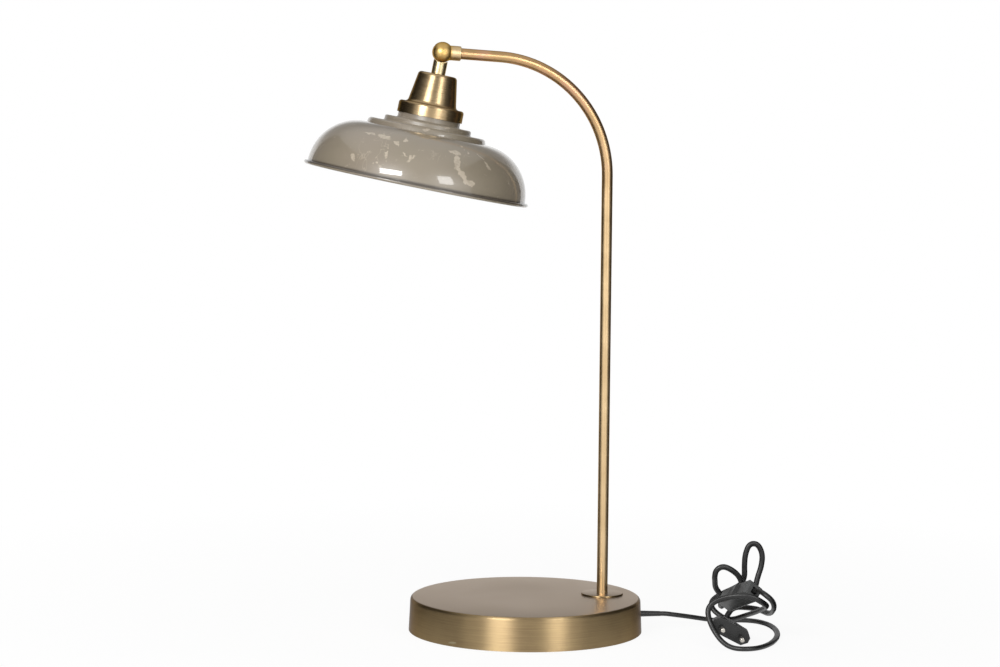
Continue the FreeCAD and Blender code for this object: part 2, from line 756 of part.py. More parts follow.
def makeLampholder():
    top = -d.holderTop
    join = -d.holderJoin
    entry = d.nippleRadius + d.fitGap
    dome = spun("HolderDome", [
        (entry, top),
        (d.holderDomeTop - d.holderDomeEdge, top, d.holderDomeEdge),
        (d.holderDomeTop, top - d.holderDomeEdge),
        (d.holderDomeRadius, top - d.holderDomeEdge * 3),
        (d.holderDomeRadius, join)], d.holderWall)
    piece(dome, "holder_dome", headPlace)

    skirtTop = join - d.partGap / 3
    mouth = d.holderMouth
    skirt = turned("HolderSkirt", [
        (d.holderSkirtRadius - d.holderWall, skirtTop), (d.holderSkirtRadius, skirtTop),
        (d.holderSkirtRadius, -d.holderFoot + d.holderWall),
        (d.holderSkirtRadius - d.holderWall, -d.holderFoot), (mouth, -d.holderFoot),
        (mouth, -d.holderFoot + d.holderWall),
        (d.holderSkirtRadius - d.holderWall, -d.holderFoot + 2 * d.holderWall)])
    piece(skirt, "holder_skirt", headPlace)

    floor = -d.insulatorFloor
    insulatorRadius = d.holderDomeRadius - d.holderWall - d.partGap
    seat = d.terminalHead + d.partGap
    insulator = padded("Insulator", d.insulatorFloor - d.insulatorTop, circles=[
        (0, 0, insulatorRadius), (0, 0, d.terminalRadius + d.fitGap),
        (-d.terminalOffset, 0, d.terminalRadius + d.fitGap),
        (d.terminalOffset, 0, d.terminalRadius + d.fitGap)])
    at(insulator, z=floor)
    sinks = [rod(f"TerminalSink{number}", seat, d.terminalHead, x=x,
                 z=-d.insulatorTop - d.terminalHead / 2)
             for number, x in enumerate((-d.terminalOffset, d.terminalOffset))]
    piece(minus("InsulatorSunk", insulator, *sinks), "holder_insulator", headPlace)

    screws = []
    for number, x in enumerate((-d.terminalOffset, d.terminalOffset)):
        screw = turned(f"TerminalScrew{number}", [
            (0, 0), (d.terminalRadius, 0),
            (d.terminalRadius, d.insulatorFloor - d.insulatorTop - d.terminalHead / 2),
            (d.terminalHead, d.insulatorFloor - d.insulatorTop - d.terminalHead / 2),
            (d.terminalHead, d.insulatorFloor - d.insulatorTop),
            (0, d.insulatorFloor - d.insulatorTop)])
        screws.append(at(screw, x=x, z=floor))
    piece(together("TerminalScrews", *screws), "terminal_screws", headPlace)

    wall = d.socketWall
    shellOuter = d.socketRadius + wall
    flangeOuter = insulatorRadius - d.partGap
    shell = turned("ScrewShell", [
        (d.socketNeck, floor), (flangeOuter, floor), (flangeOuter, floor - wall),
        (d.socketNeck + wall, floor - wall), (d.socketNeck + wall, wall - d.socketTop),
        (shellOuter, wall - d.socketTop), (shellOuter, -d.socketFoot),
        (d.socketRadius, -d.socketFoot), (d.socketRadius, -d.socketTop),
        (d.socketNeck, -d.socketTop)])
    piece(shell, "screw_shell", headPlace)

    low = floor - d.contactLift
    contact = padded("CentreContact", d.contactWidth, role="XZ_Plane", outlines=[[
        (-d.contactReach / 2, floor - d.contactThick), (-d.contactReach / 2, floor),
        (d.contactReach / 5, floor),
        (d.contactReach / 2, low + d.contactThick), (d.contactReach / 2, low),
        (d.contactReach / 8, floor - d.contactThick)]])
    piece(at(contact, y=d.contactWidth / 2), "centre_contact", headPlace)

    upper = -d.shadeTop
    ring = padded("UpperRing", d.clampRingUpper,
                  circles=[(0, 0, d.clampRingOuter), (0, 0, d.clampRingInner)])
    piece(at(ring, z=upper), "shade_ring_upper", headPlace)
    lowTop = upper - d.shadeWall
    grip = d.clampRingOuter - d.shadeWall
    ring = turned("LowerRing", [
        (d.clampRingInner, lowTop), (grip, lowTop), (grip, lowTop - d.clampRingLower / 2),
        (d.clampRingInner + d.holderWall, lowTop - d.clampRingLower),
        (d.clampRingInner, lowTop - d.clampRingLower)])
    piece(ring, "shade_ring_lower", headPlace)


# Cord inside the lamp, its grommet and its clamp

def makeCordEntry():
    lip = d.grommetLip
    inside = exitRadius - d.baseWall
    sleeve = d.cordRadius + d.reliefGap
    outside = exitRadius + d.partGap
    end = outside + d.reliefLength
    grommet = turned("Grommet", [
        (sleeve, inside - d.partGap - lip), (d.grommetFlange, inside - d.partGap - lip),
        (d.grommetFlange, inside - d.partGap), (d.grommetBody, inside - d.partGap),
        (d.grommetBody, outside), (d.grommetFlange, outside), (d.grommetFlange, outside + lip),
        (d.reliefRadius, outside + lip), (d.reliefTip, end), (sleeve, end)])
    piece(grommet, "cord_relief", alongX(Placement(Vector(0, 0, d.exitHeight), Rotation())))

    baseTop = d.exitHeight - d.clampBar / 4
    groove = rod("ClampGroove", d.cordRadius + d.fitGap, d.clampLength + 2 * d.overrun,
                 x=clampX - d.clampLength / 2 - d.overrun, z=d.exitHeight,
                 axis=(0, 1, 0), angle=90)
    lower = block("ClampBase", d.clampLength, d.clampWidth, baseTop - plateTop,
                  x=clampX, z=plateTop)
    holes = [rod(f"ClampHole{number}", d.clampScrewRadius + d.fitGap, d.clampBar * 4, x=clampX,
                 y=y, z=baseTop - d.clampBar * 2)
             for number, y in enumerate((-d.clampScrewOffset, d.clampScrewOffset))]
    piece(minus("ClampBlock", lower, groove, *holes), "clamp_block")

    barLow = d.exitHeight + d.clampBar / 4
    upper = block("ClampTop", d.clampLength, d.clampWidth, d.clampBar, x=clampX, z=barLow)
    groove = rod("BarGroove", d.cordRadius + d.fitGap, d.clampLength + 2 * d.overrun,
                 x=clampX - d.clampLength / 2 - d.overrun, z=d.exitHeight,
                 axis=(0, 1, 0), angle=90)
    holes = [rod(f"BarHole{number}", d.clampScrewRadius + d.fitGap, d.clampBar * 4, x=clampX,
                 y=y, z=barLow - d.clampBar)
             for number, y in enumerate((-d.clampScrewOffset, d.clampScrewOffset))]
    piece(minus("ClampBar", upper, groove, *holes), "clamp_bar")

    screws = []
    for number, y in enumerate((-d.clampScrewOffset, d.clampScrewOffset)):
        shank = d.clampBar * 2
        screw = turned(f"ClampScrew{number}", [
            (0, -shank), (d.clampScrewRadius, -shank), (d.clampScrewRadius, 0),
            (d.clampScrewHead, 0), (d.clampScrewHead, d.clampScrewHeadThick),
            (0, d.clampScrewHeadThick)])
        screws.append(at(screw, x=clampX, y=y, z=barLow + d.clampBar))
    piece(together("ClampScrews", *screws), "clamp_screws")


# Switch in the cord

def makeSwitch():
    half = d.switchLength / 2
    wide = d.switchWidth / 2
    end = d.switchEndWidth / 2
    edge = d.switchEdge
    bend = half - d.switchTaper
    plan = [
        (half, edge - end), (half, end - edge, -edge), (half - edge, end), (bend, wide),
        (-bend, wide), (edge - half, end, -edge), (-half, end - edge), (-half, edge - end, -edge),
        (edge - half, -end), (-bend, -wide), (bend, -wide), (half - edge, -end, -edge)]

    def shell(name, height, up):
        ends = [(-wide, 0), (-wide, up * (height - edge)), (edge - wide, up * height),
                (wide - edge, up * height), (wide, up * (height - edge)), (wide, 0)]
        side = [(-half, 0), (-half, up * (height - edge)), (edge - half, up * height),
                (half - edge, up * height), (half, up * (height - edge)), (half, 0)]
        item, above, along, across = moulded(name, plan, ends, side, d.switchLength,
                                             d.switchWidth, height)
        at(above, z=0 if up > 0 else -height)
        at(along, x=-half)
        at(across, y=wide)
        return item

    def ports(name):
        return [block(f"{name}Port{number}", 2 * d.portDepth, d.portWidth, d.portHeight,
                      x=x, z=-d.portHeight / 2) for number, x in enumerate((-half, half))]

    pinHeight = d.switchUpper - d.trunnionDepth
    screwAt = (-d.switchScrewX, d.switchScrewX)
    pocketWide = d.rockerWidth + 2 * d.partGap
    pocket = block("RockerPocket", d.rockerLength + 2 * d.rockerGap, pocketWide,
                   d.pocketDepth + d.overrun, z=d.switchUpper - d.pocketDepth)
    bearing = rod("Bearing", d.trunnionRadius + d.runGap, d.trunnionLength + 2 * d.partGap,
                  y=d.trunnionLength / 2 + d.partGap, z=pinHeight, axis=(1, 0, 0), angle=90)
    threads = [rod(f"SwitchThread{number}", d.switchScrewRadius + d.fitGap,
                   d.switchScrewReach + d.partGap, x=x) for number, x in enumerate(screwAt)]
    upper = minus("SwitchUpperCut", shell("SwitchUpper", d.switchUpper, 1), pocket, bearing,
                  *threads, *ports("Upper"))
    piece(upper, "switch_upper", switchPlace)

    ways = [rod(f"SwitchWay{number}", d.switchScrewRadius + d.fitGap, d.switchLower + d.overrun,
                x=x, z=-d.switchLower) for number, x in enumerate(screwAt)]
    sinks = [rod(f"SwitchSink{number}", d.switchScrewHead + d.fitGap,
                 d.switchScrewSink + d.overrun, x=x, z=-d.switchLower - d.overrun)
             for number, x in enumerate(screwAt)]
    lower = minus("SwitchLowerCut", shell("SwitchLower", d.switchLower, -1), *ways, *sinks,
                  *ports("Lower"))
    piece(lower, "switch_lower", switchPlace)

    screws = []
    seat = d.switchScrewSink - d.switchLower
    for number, x in enumerate(screwAt):
        screw = turned(f"SwitchScrew{number}", [
            (0, seat - d.switchScrewSink / 2), (d.switchScrewHead, seat - d.switchScrewSink / 2),
            (d.switchScrewHead, seat), (d.switchScrewRadius, seat),
            (d.switchScrewRadius, d.switchScrewReach), (0, d.switchScrewReach)])
        screws.append(at(screw, x=x))
    piece(together("SwitchScrews", *screws), "switch_screws", switchPlace)

    reach = d.rockerLength / 2
    rise = d.rockerRise
    top = d.trunnionDepth + rise
    boss = d.rockerBoss
    paddle = padded("RockerPaddle", d.rockerWidth, role="XZ_Plane", outlines=[[
        (rise - reach, top, -d.rockerDish), (reach - rise, top), (reach, top - 2 * rise),
        (reach - boss, 0), (boss, -boss), (-boss, -boss), (boss - reach, 0),
        (-reach, top - 2 * rise)]])
    at(paddle, y=d.rockerWidth / 2)
    trunnion = rod("Trunnion", d.trunnionRadius, d.trunnionLength, y=d.trunnionLength / 2,
                   axis=(1, 0, 0), angle=90)
    lean = Placement(Vector(0, 0, pinHeight), Rotation(Vector(0, 1, 0), -d.rockerTilt))
    piece(fused("Rocker", paddle, trunnion), "rocker", switchPlace.multiply(lean))


# Plug at the cord's end

def makePlug():
    half = d.plugWidth / 2
    tail = d.plugTail / 2
    crown = d.plugCrown / 2
    thick = d.plugThick / 2
    flat = thick - (half - crown)
    plan = [
        (0, -half), (0, half), (-d.plugShoulder, half, d.plugWaist), (-d.plugLength, tail),
        (-d.plugLength, -tail, d.plugWaist), (-d.plugShoulder, -half)]
    ends = [(half, -flat), (half, flat), (crown, thick), (-crown, thick),
            (-half, flat), (-half, -flat), (-crown, -thick), (crown, -thick)]
    side = [
        (0, -thick), (0, thick), (-d.plugShoulder, thick), (-d.plugLength, d.plugTailThick / 2),
        (-d.plugLength, -d.plugTailThick / 2), (-d.plugShoulder, -thick)]
    form, above, along, across = moulded("PlugForm", plan, ends, side, d.plugLength, d.plugWidth,
                                         d.plugThick)
    at(above, z=-thick)
    at(along, x=-d.plugLength)
    at(across, y=half)
    pinAt = (-d.pinSpacing / 2, d.pinSpacing / 2)
    holes = [rod(f"PinHole{number}", d.pinCore + d.runGap, d.pinRoot + d.overrun, x=-d.pinRoot,
                 y=y, axis=(0, 1, 0), angle=90) for number, y in enumerate(pinAt)]
    piece(minus("PlugBody", form, *holes), "plug_body", plugPlace)

    pins = []
    sleeves = []
    for number, y in enumerate(pinAt):
        pin = turned(f"Pin{number}", [
            (0, -d.pinRoot), (d.pinCore, -d.pinRoot), (d.pinCore, d.pinSleeve),
            (d.pinRadius, d.pinSleeve), (d.pinRadius, d.pinLength - d.pinTip, -d.pinTip),
            (d.pinRadius - d.pinTip, d.pinLength), (0, d.pinLength)])
        pins.append(at(pin, y=y, axis=(0, 1, 0), angle=90))
        sleeve = padded(f"PinSleeve{number}", d.pinSleeve, circles=[
            (0, 0, d.pinSleeveRadius), (0, 0, d.pinCore + d.runGap)])
        sleeves.append(at(sleeve, y=y, axis=(0, 1, 0), angle=90))
    piece(together("PlugPins", *pins), "plug_pins", plugPlace)
    piece(together("PinSleeves", *sleeves), "plug_sleeves", plugPlace)

    bore = d.cordRadius + d.reliefGap
    start = d.plugLength + d.plugRelief
    relief = turned("PlugRelief", [
        (bore, -start), (d.plugReliefTip, -start), (d.plugReliefRadius, -d.plugLength),
        (bore, -d.plugLength)])
    piece(relief, "plug_relief", alongX(plugPlace))


# Cords

bendShare = 0.45        # share of the shorter run that a bend takes up
nearSpots = 12          # spots this near along the cord aren't compared


def arcVia(first, corner, last):
    """The arc that leaves first towards corner and arrives at last from it, or a straight line."""
    spread = (last - first).Length / (2 * (corner - first).Length)
    if spread > 1 - 1e-9:
        return Part.LineSegment(first, last).toShape()
    middle = (first + corner * (2 * spread) + last) / (2 + 2 * spread)
    return Part.Arc(first, middle, last).toShape()


def way(first, last):
    return (last - first).normalize()


def runsAndBends(points):
    """Straight runs joined by arcs, for a cord that lies or hangs free."""
    edges = []
    start = points[0]
    for before, corner, after in zip(points, points[1:], points[2:]):
        take = bendShare * min((corner - before).Length, (after - corner).Length)
        first = corner - way(before, corner) * take
        last = corner + way(corner, after) * take
        edges += [Part.LineSegment(start, first).toShape(), arcVia(first, corner, last)]
        start = last
    return edges + [Part.LineSegment(start, points[-1]).toShape()]


def windings(points):
    """Pairs of arcs through the middles of a chain's sides, for a cord that is coiled."""
    edges = []
    middles = [(first + last) / 2 for first, last in zip(points, points[1:])]
    edges.append(Part.LineSegment(points[0], middles[0]).toShape())
    for start, corner, end in zip(middles, points[1:], middles[1:]):
        leaving = way(start, corner)
        arriving = way(corner, end)
        chord = end - start
        push = chord.dot(leaving + arriving)
        spread = 2 * (1 - leaving.dot(arriving))
        if spread < 1e-9:
            edges.append(Part.LineSegment(start, end).toShape())
            continue
        reach = (math.sqrt(push * push + spread * chord.dot(chord)) - push) / spread
        join = (start + end + (leaving - arriving) * reach) / 2
        edges.append(arcVia(start, start + leaving * reach, join))
        edges.append(arcVia(join, end - arriving * reach, end))
    edges.append(Part.LineSegment(middles[-1], points[-1]).toShape())
    return edges


def reportCord(name, edges, solid, radius):
    """Print a cord's length, tightest bend, volume and the least gap between its turns."""
    length = sum(edge.Length for edge in edges)
    bends = [edge.Curve.Radius for edge in edges if hasattr(edge.Curve, "Radius")]
    spots = Part.Wire(edges).discretize(Number=int(length / radius))
    gap = min((spots[first] - spots[last]).Length - 2 * radius
              for first in range(len(spots)) for last in range(first + nearSpots, len(spots)))
    section = math.pi * radius * radius * length
    print(f"{name}: length {length:.1f}, tightest bend {min(bends):.1f}, "
          f"volume {solid.Volume / section:.4f} of section times length, "
          f"gap to itself {gap:.2f}, lowest {min(spot.z for spot in spots) - radius:.2f}")


def makeCords():
    radius = d.cordRadius
    reliefEnd = Vector(exitRadius + d.partGap + d.reliefLength, 0, d.exitHeight)
    turnEnd = Vector(postX, 0, d.exitHeight + d.cordBend)
    corner = Vector(postX, 0, d.exitHeight)
    turnStart = corner + Vector(d.cordBend, 0, 0)
    inner = [Part.LineSegment(reliefEnd, turnStart).toShape(), arcVia(turnStart, corner, turnEnd)]
    inner += centreline(turnEnd.z, d.cordStop)
    piece(feature("InnerCord", swept(inner, radius)), "inner_cord")

    leads = []
    nippleSpot = d.nippleBore - d.leadRadius - d.partGap * 2
    for number, side in enumerate((-1, 1)):
        leadTop = -d.ballRadius - d.partGap - d.leadHole
        terminal = Vector(side * d.terminalOffset, 0, -d.insulatorTop)
        route = [
            Vector(0, side * d.leadHoleOffset, leadTop),
            Vector(0, side * d.leadHoleOffset, -d.neckBoreTop - d.leadRadius),
            Vector(0, side * nippleSpot, d.leadRadius - d.nippleTop),
            Vector(0, side * nippleSpot, -d.nippleEnd - d.leadRadius),
            terminal + Vector(0, 0, d.terminalHead),
            terminal]
        lead = feature(f"Lead{number}", swept(runsAndBends(route), d.leadRadius))
        leads.append(lead)
    piece(together("SocketLeads", *leads), "socket_leads", headPlace)

    # From the lamp to the coil, on the table
    table = radius + d.tableGap
    free = [reliefEnd, Vector(126, 0, d.exitHeight), Vector(134, 0.2, 9.4), Vector(146, 1.5, 7),
            Vector(160, 3, 4.4), Vector(176, 5, table)]
    # One loop lies on the table, the next rises in front of the switch, the third goes behind it
    ground = [Vector(194, 5.5, table), Vector(208, 0, table), Vector(215.5, -15, table),
              Vector(216.5, -36, table), Vector(212.5, -60, table), Vector(204.5, -83, table),
              Vector(193, -105, table), Vector(179, -120.5, table), Vector(166, -124.5, table),
              Vector(155.5, -119, table), Vector(148.5, -112.5, 6)]
    rise = [Vector(143, -106, 14), Vector(139.5, -101, 23), Vector(138.5, -97, 32)]
    front = [Vector(143.5, -97, 38.5), Vector(152.5, -101.5, 43), Vector(163, -107, 45.5),
             Vector(174, -111, 45), Vector(184, -111, 41.5), Vector(190.5, -103.5, 36),
             Vector(192.5, -90, 30.5)]
    back = [Vector(191, -72, 21), Vector(186.5, -51, 11), Vector(176, -34.5, 8),
            Vector(165.5, -28, 10.5), Vector(159, -22.5, 17.5), Vector(164, -17.5, 25),
            Vector(173, -17, 30.5)]
    # Two loops stand up, one upright and one leaning, and the cord comes down into the switch
    upright = [Vector(182.5, -19.5, 35), Vector(188.5, -25.5, 40), Vector(190, -31, 48),
               Vector(189.3, -31.8, 57.5), Vector(189.8, -32, 68), Vector(193.3, -32.4, 77.2),
               Vector(200.9, -32.6, 77.2), Vector(205.5, -32.8, 68), Vector(204.5, -33, 57)]
    dip = [Vector(202.5, -34, 47.5), Vector(200.5, -35, 38), Vector(196.5, -35.5, 31.5),
           Vector(190, -36.5, 31.5), Vector(186, -39.5, 37.5), Vector(184, -43, 45)]
    leaning = [Vector(180.5, -45, 51.5), Vector(174, -46, 57), Vector(166, -46, 60.5),
               Vector(160.2, -44.5, 57), Vector(159.3, -43.2, 50.7), Vector(160.8, -39, 46.6)]
    port = d.switchLength / 2
    inlet = [Vector(163.3, -31, 38.9), Vector(168.4, -27.5, 30), Vector(168.5, -31, 22.5),
             Vector(164.8, -39.5, 20.3),
             switchPlace.multVec(Vector(-port - d.inletStraight, 0, 0)),
             switchPlace.multVec(Vector(-port - d.inletStraight / 2, 0, 0)),
             switchPlace.multVec(Vector(d.portDepth - port, 0, 0))]
    start = (free[-1] + ground[0]) / 2
    coil = [start] + ground + rise + front + back + upright + dip + leaning + inlet
    relief = -d.plugLength - d.plugRelief
    tail = [
        switchPlace.multVec(Vector(port - d.portDepth, 0, 0)),
        switchPlace.multVec(Vector(port + d.outletStraight, 0, 0)),
        Vector(186, -115.5, 48.5), Vector(193.5, -117, 42), Vector(198.5, -108, 31),
        Vector(200.5, -86, 21), Vector(198, -58, 17), Vector(190.5, -41, 20),
        Vector(178.5, -31.5, 20), plugPlace.multVec(Vector(relief - d.plugStraight, 0, 0)),
        plugPlace.multVec(Vector(relief, 0, 0)), plugPlace.multVec(Vector(-d.plugLength, 0, 0))]
    for name, node, edges in (("CordLead", "cord_lead", runsAndBends(free + [start])),
                              ("CordCoil", "cord_coil", windings(coil)),
                              ("CordTail", "cord_tail", windings(tail))):
        solid = swept(edges, radius)
        reportCord(node, edges, solid, radius)
        piece(feature(name, solid), node)


makeBase()
makePost()
makeJoint()
makeNeck()
makeCap()
makeShade()
makeLampholder()
makeCordEntry()
makeSwitch()
makePlug()
makeCords()

doc.recompute()
faults = [f"{item.Name}: {item.State}" for item in doc.Objects
          if "Invalid" in item.State or "Error" in item.State]
for item in pieces:
    if item.Shape.isNull() or not item.Shape.isValid():
        faults.append(f"{item.Label}: bad shape")
if faults:
    raise SystemExit("\n".join(faults))

os.makedirs("parts", exist_ok=True)
for item in pieces:
    item.Shape.exportStep(f"parts/{item.Label}.step")
    box = item.Shape.BoundBox
    print(f"{item.Label:18s} solids {len(item.Shape.Solids)} volume {item.Shape.Volume:10.1f}"
          f"  x {box.XMin:.1f} {box.XMax:.1f}  y {box.YMin:.1f} {box.YMax:.1f}"
          f"  z {box.ZMin:.1f} {box.ZMax:.1f}")
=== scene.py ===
# Table lamp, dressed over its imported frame: aged brass base, arched tube, ball joint,
# enamelled shade and a flat black mains cord with its switch and plug.
# Sizes are in millimetres and turned to metres where a mesh is made; only the studio's floor,
# flags and lamps are written in metres.

import bpy
import bmesh
import math
from mathutils import Matrix, Vector


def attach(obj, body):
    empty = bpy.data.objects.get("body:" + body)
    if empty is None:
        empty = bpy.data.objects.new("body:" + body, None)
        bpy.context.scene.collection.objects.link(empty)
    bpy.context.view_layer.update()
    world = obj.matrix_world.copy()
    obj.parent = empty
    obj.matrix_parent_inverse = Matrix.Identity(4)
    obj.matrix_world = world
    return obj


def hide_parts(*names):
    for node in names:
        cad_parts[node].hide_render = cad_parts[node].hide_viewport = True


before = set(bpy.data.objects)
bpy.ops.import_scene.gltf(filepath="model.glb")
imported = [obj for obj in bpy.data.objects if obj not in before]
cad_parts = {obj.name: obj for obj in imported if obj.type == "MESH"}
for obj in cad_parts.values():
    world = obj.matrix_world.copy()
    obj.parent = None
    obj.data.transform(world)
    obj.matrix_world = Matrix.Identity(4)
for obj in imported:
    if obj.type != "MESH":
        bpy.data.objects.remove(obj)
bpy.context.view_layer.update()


def metres(*values):
    return Vector(values) / 1000


def turn(axis, degrees):
    return Matrix.Rotation(math.radians(degrees), 4, axis)


def placed(spot, turns):
    # a piece's own frame, from where it lies and how it is turned
    place = Matrix.Translation(metres(*spot))
    for axis, degrees in turns:
        place = place @ turn(axis, degrees)
    return place


# where the arm ends, the head hangs, and the switch and the plug lie
lamp = {"postX": 69.0, "bendStart": 398.0, "bendRadius": 103.0, "bendAngle": 86.0,
        "armReach": 50.7, "tilt": 11.2,
        "switchAt": (173, -78, 39.4), "switchTurns": (("Z", -73.5), ("Y", -20.5), ("X", 49)),
        "plugAt": (159.5, -98, 12.8), "plugTurns": (("Z", -100.5), ("Y", -0.5), ("X", -27))}
bend = math.radians(lamp["bendAngle"])
armWay = Vector((-math.sin(bend), 0, math.cos(bend)))
armStart = Vector((lamp["postX"] - lamp["bendRadius"] * (1 - math.cos(bend)), 0,
                   lamp["bendStart"] + lamp["bendRadius"] * math.sin(bend)))
ballCentre = armStart + armWay * lamp["armReach"]
headPlace = placed(ballCentre, [("Y", lamp["tilt"])])
switchPlace = placed(lamp["switchAt"], lamp["switchTurns"])
plugPlace = placed(lamp["plugAt"], lamp["plugTurns"])


# Colours and nodes

toneSpan = (0.3, 0.7)       # the part of a noise's range that carries a finish's tones


def linear(code):
    # sRGB hex to the linear colour that shaders take
    channels = [int(code[start:start + 2], 16) / 255 for start in (1, 3, 5)]
    return [c / 12.92 if c <= 0.04045 else ((c + 0.055) / 1.055) ** 2.4 for c in channels] + [1.0]


def addNode(tree, kind, links=None, stops=(), **settings):
    # one node with its settings, links and ramp stops; a node among the links stands for its
    # first live output, and a stop is a position with a hex colour or a grey level; a colour
    # Mix takes its factor at 0 and its colours at 6 and 7
    node = tree.nodes.new("ShaderNode" + kind)
    for name, value in settings.items():
        setattr(node, name, value)
    for name, value in (links or {}).items():
        if isinstance(value, bpy.types.Node):
            value = next(socket for socket in value.outputs if socket.enabled)
        if isinstance(value, bpy.types.NodeSocket):
            tree.links.new(value, node.inputs[name])
        else:
            node.inputs[name].default_value = value
    for number, (position, tone) in enumerate(stops):
        marks = node.color_ramp.elements
        mark = marks[number] if number < 2 else marks.new(position)
        mark.position = position
        mark.color = linear(tone) if isinstance(tone, str) else (tone, tone, tone, 1)
    return node


# Camera, floor, flags, sky and lamps

# the camera's place in mm, everything else in metres and degrees
studio = {"cameraAt": (-595.4, -2789.4, 550.3), "heading": 11.56, "pitch": 5.79, "roll": 0.53,
          "lens": 118.8, "sensor": 36.0, "near": 0.05, "far": 200.0,
          "middle": (-0.09, 0.0, 0.0), "lampAim": (-0.05, 0.0, 0.35), "lampReach": 2.2,
          "floorWidth": 120.0, "fadeFrom": 0.25, "fadeTo": 0.75, "whiteShare": 0.92}
# black cloths: degrees to the right of the camera, reach, height, lean, width and depth
flags = {"flagLeft": (-100, 0.85, 0.62, 0, 1.5, 1.2), "flagRight": (100, 0.85, 0.62, 0, 1.5, 1.2),
         "floorFlagLeft": (-100, 0.62, 0.001, 90, 0.8, 1.0),
         "floorFlagRight": (100, 0.80, 0.001, 90, 0.8, 1.0)}
# softboxes: degrees to the right of the camera, height, width, depth, power, gloss power
panes = {"key": (-24.2, 1.24, 0.95, 0.42, 33, 9), "fill": (34, 1.02, 0.60, 0.64, 9, 15)}


def makeCamera():
    data = bpy.data.cameras.new("photoCamera")
    data.lens = studio["lens"]
    data.sensor_width = studio["sensor"]
    data.clip_start = studio["near"]
    data.clip_end = studio["far"]
    camera = bpy.data.objects.new("photoCamera", data)
    bpy.context.collection.objects.link(camera)
    camera.matrix_world = placed(studio["cameraAt"], (
        ("Z", -studio["heading"]), ("X", 90 - studio["pitch"]), ("Z", studio["roll"])))
    bpy.context.scene.camera = camera
    bpy.context.scene.view_settings.view_transform = "Standard"


def fromCamera(degrees, reach, height):
    # a spot round the shade, to the right of the line from the shade to the camera
    heading = math.radians(studio["heading"] + 180 - degrees)
    out = Vector((math.sin(heading), math.cos(heading), 0))
    return Vector(studio["middle"]) + out * reach + Vector((0, 0, height))


def makeSheet(name, place, width, depth, material):
    # a flat sheet that only stands in the studio
    work = bmesh.new()
    bmesh.ops.create_grid(work, x_segments=1, y_segments=1, size=0.5)
    bmesh.ops.transform(work, matrix=place @ Matrix.Diagonal((width, depth, 1, 1)),
                        verts=work.verts)
    mesh = bpy.data.meshes.new(name)
    work.to_mesh(mesh)
    work.free()
    sheet = bpy.data.objects.new(name, mesh)
    bpy.context.collection.objects.link(sheet)
    mesh.materials.append(material)
    return sheet


def makeFloor():
    # pale paper: white where the camera, metal or glass looks, apart from a share of the shadow
    # that fades away from the lamp
    material = bpy.data.materials.new("paleFloor")
    material.use_nodes = True
    tree = material.node_tree
    tree.nodes.clear()
    path = addNode(tree, "LightPath")
    seen = addNode(tree, "Math", {0: path.outputs["Is Camera Ray"],
                                  1: path.outputs["Is Glossy Ray"]}, operation="MAXIMUM")
    seen = addNode(tree, "Math", {0: seen, 1: path.outputs["Is Transmission Ray"]},
                   operation="MAXIMUM")
    spot = addNode(tree, "TexCoord").outputs["Object"]
    reach = addNode(tree, "VectorMath", {0: spot}, operation="LENGTH")
    fade = addNode(tree, "MapRange", {
        "Value": reach, "From Min": studio["fadeFrom"], "From Max": studio["fadeTo"],
        "To Min": studio["whiteShare"], "To Max": 1.0})
    share = addNode(tree, "Math", {0: seen, 1: fade}, operation="MULTIPLY")
    paper = addNode(tree, "BsdfDiffuse", {"Color": linear("#f4f4f2")})
    glow = addNode(tree, "Emission", {"Color": linear("#ffffff"), "Strength": 1.0})
    both = addNode(tree, "MixShader", {0: share, 1: paper, 2: glow})
    addNode(tree, "OutputMaterial", {"Surface": both})
    makeSheet("floor", Matrix(), studio["floorWidth"], studio["floorWidth"], material)
    print("floor")


def makeFlags():
    # metal and gloss show the flags, and the right one also shades the lamp's right side
    cloth = bpy.data.materials.new("blackFlag")
    cloth.use_nodes = True
    cloth.node_tree.nodes["Principled BSDF"].inputs["Base Color"].default_value = linear("#1c1c1c")
    for name, (side, reach, height, lean, width, depth) in flags.items():
        spot = fromCamera(side, reach, height)
        middle = Vector(studio["middle"]) + Vector((0, 0, height))
        aim = (middle - spot).to_track_quat("Z", "Y").to_matrix().to_4x4()
        place = Matrix.Translation(spot) @ aim @ turn("X", lean)
        flag = makeSheet(name, place, width, depth, cloth)
        flag.visible_camera = False
        flag.visible_shadow = False
        flag.visible_transmission = False
        flag.visible_diffuse = name == "flagRight"
    print(f"{len(flags)} flags")


def makeSky():
    # the studio is white at the horizon, dim above it and bright overhead
    world = bpy.data.worlds.new("studio")
    bpy.context.scene.world = world
    world.use_nodes = True
    tree = world.node_tree
    tree.nodes.clear()
    height = addNode(tree, "SeparateXYZ", {0: addNode(tree, "TexCoord").outputs["Generated"]})
    tone = addNode(tree, "ValToRGB", {"Fac": height.outputs["Z"]}, stops=(
        (0.0, 1.0), (0.17, 1.0), (0.33, 0.32), (0.5, 0.20), (0.8, 0.75), (1.0, 0.8)))
    sky = addNode(tree, "Background", {"Color": tone, "Strength": 1.0})
    addNode(tree, "OutputWorld", {"Surface": sky})
    print("sky")


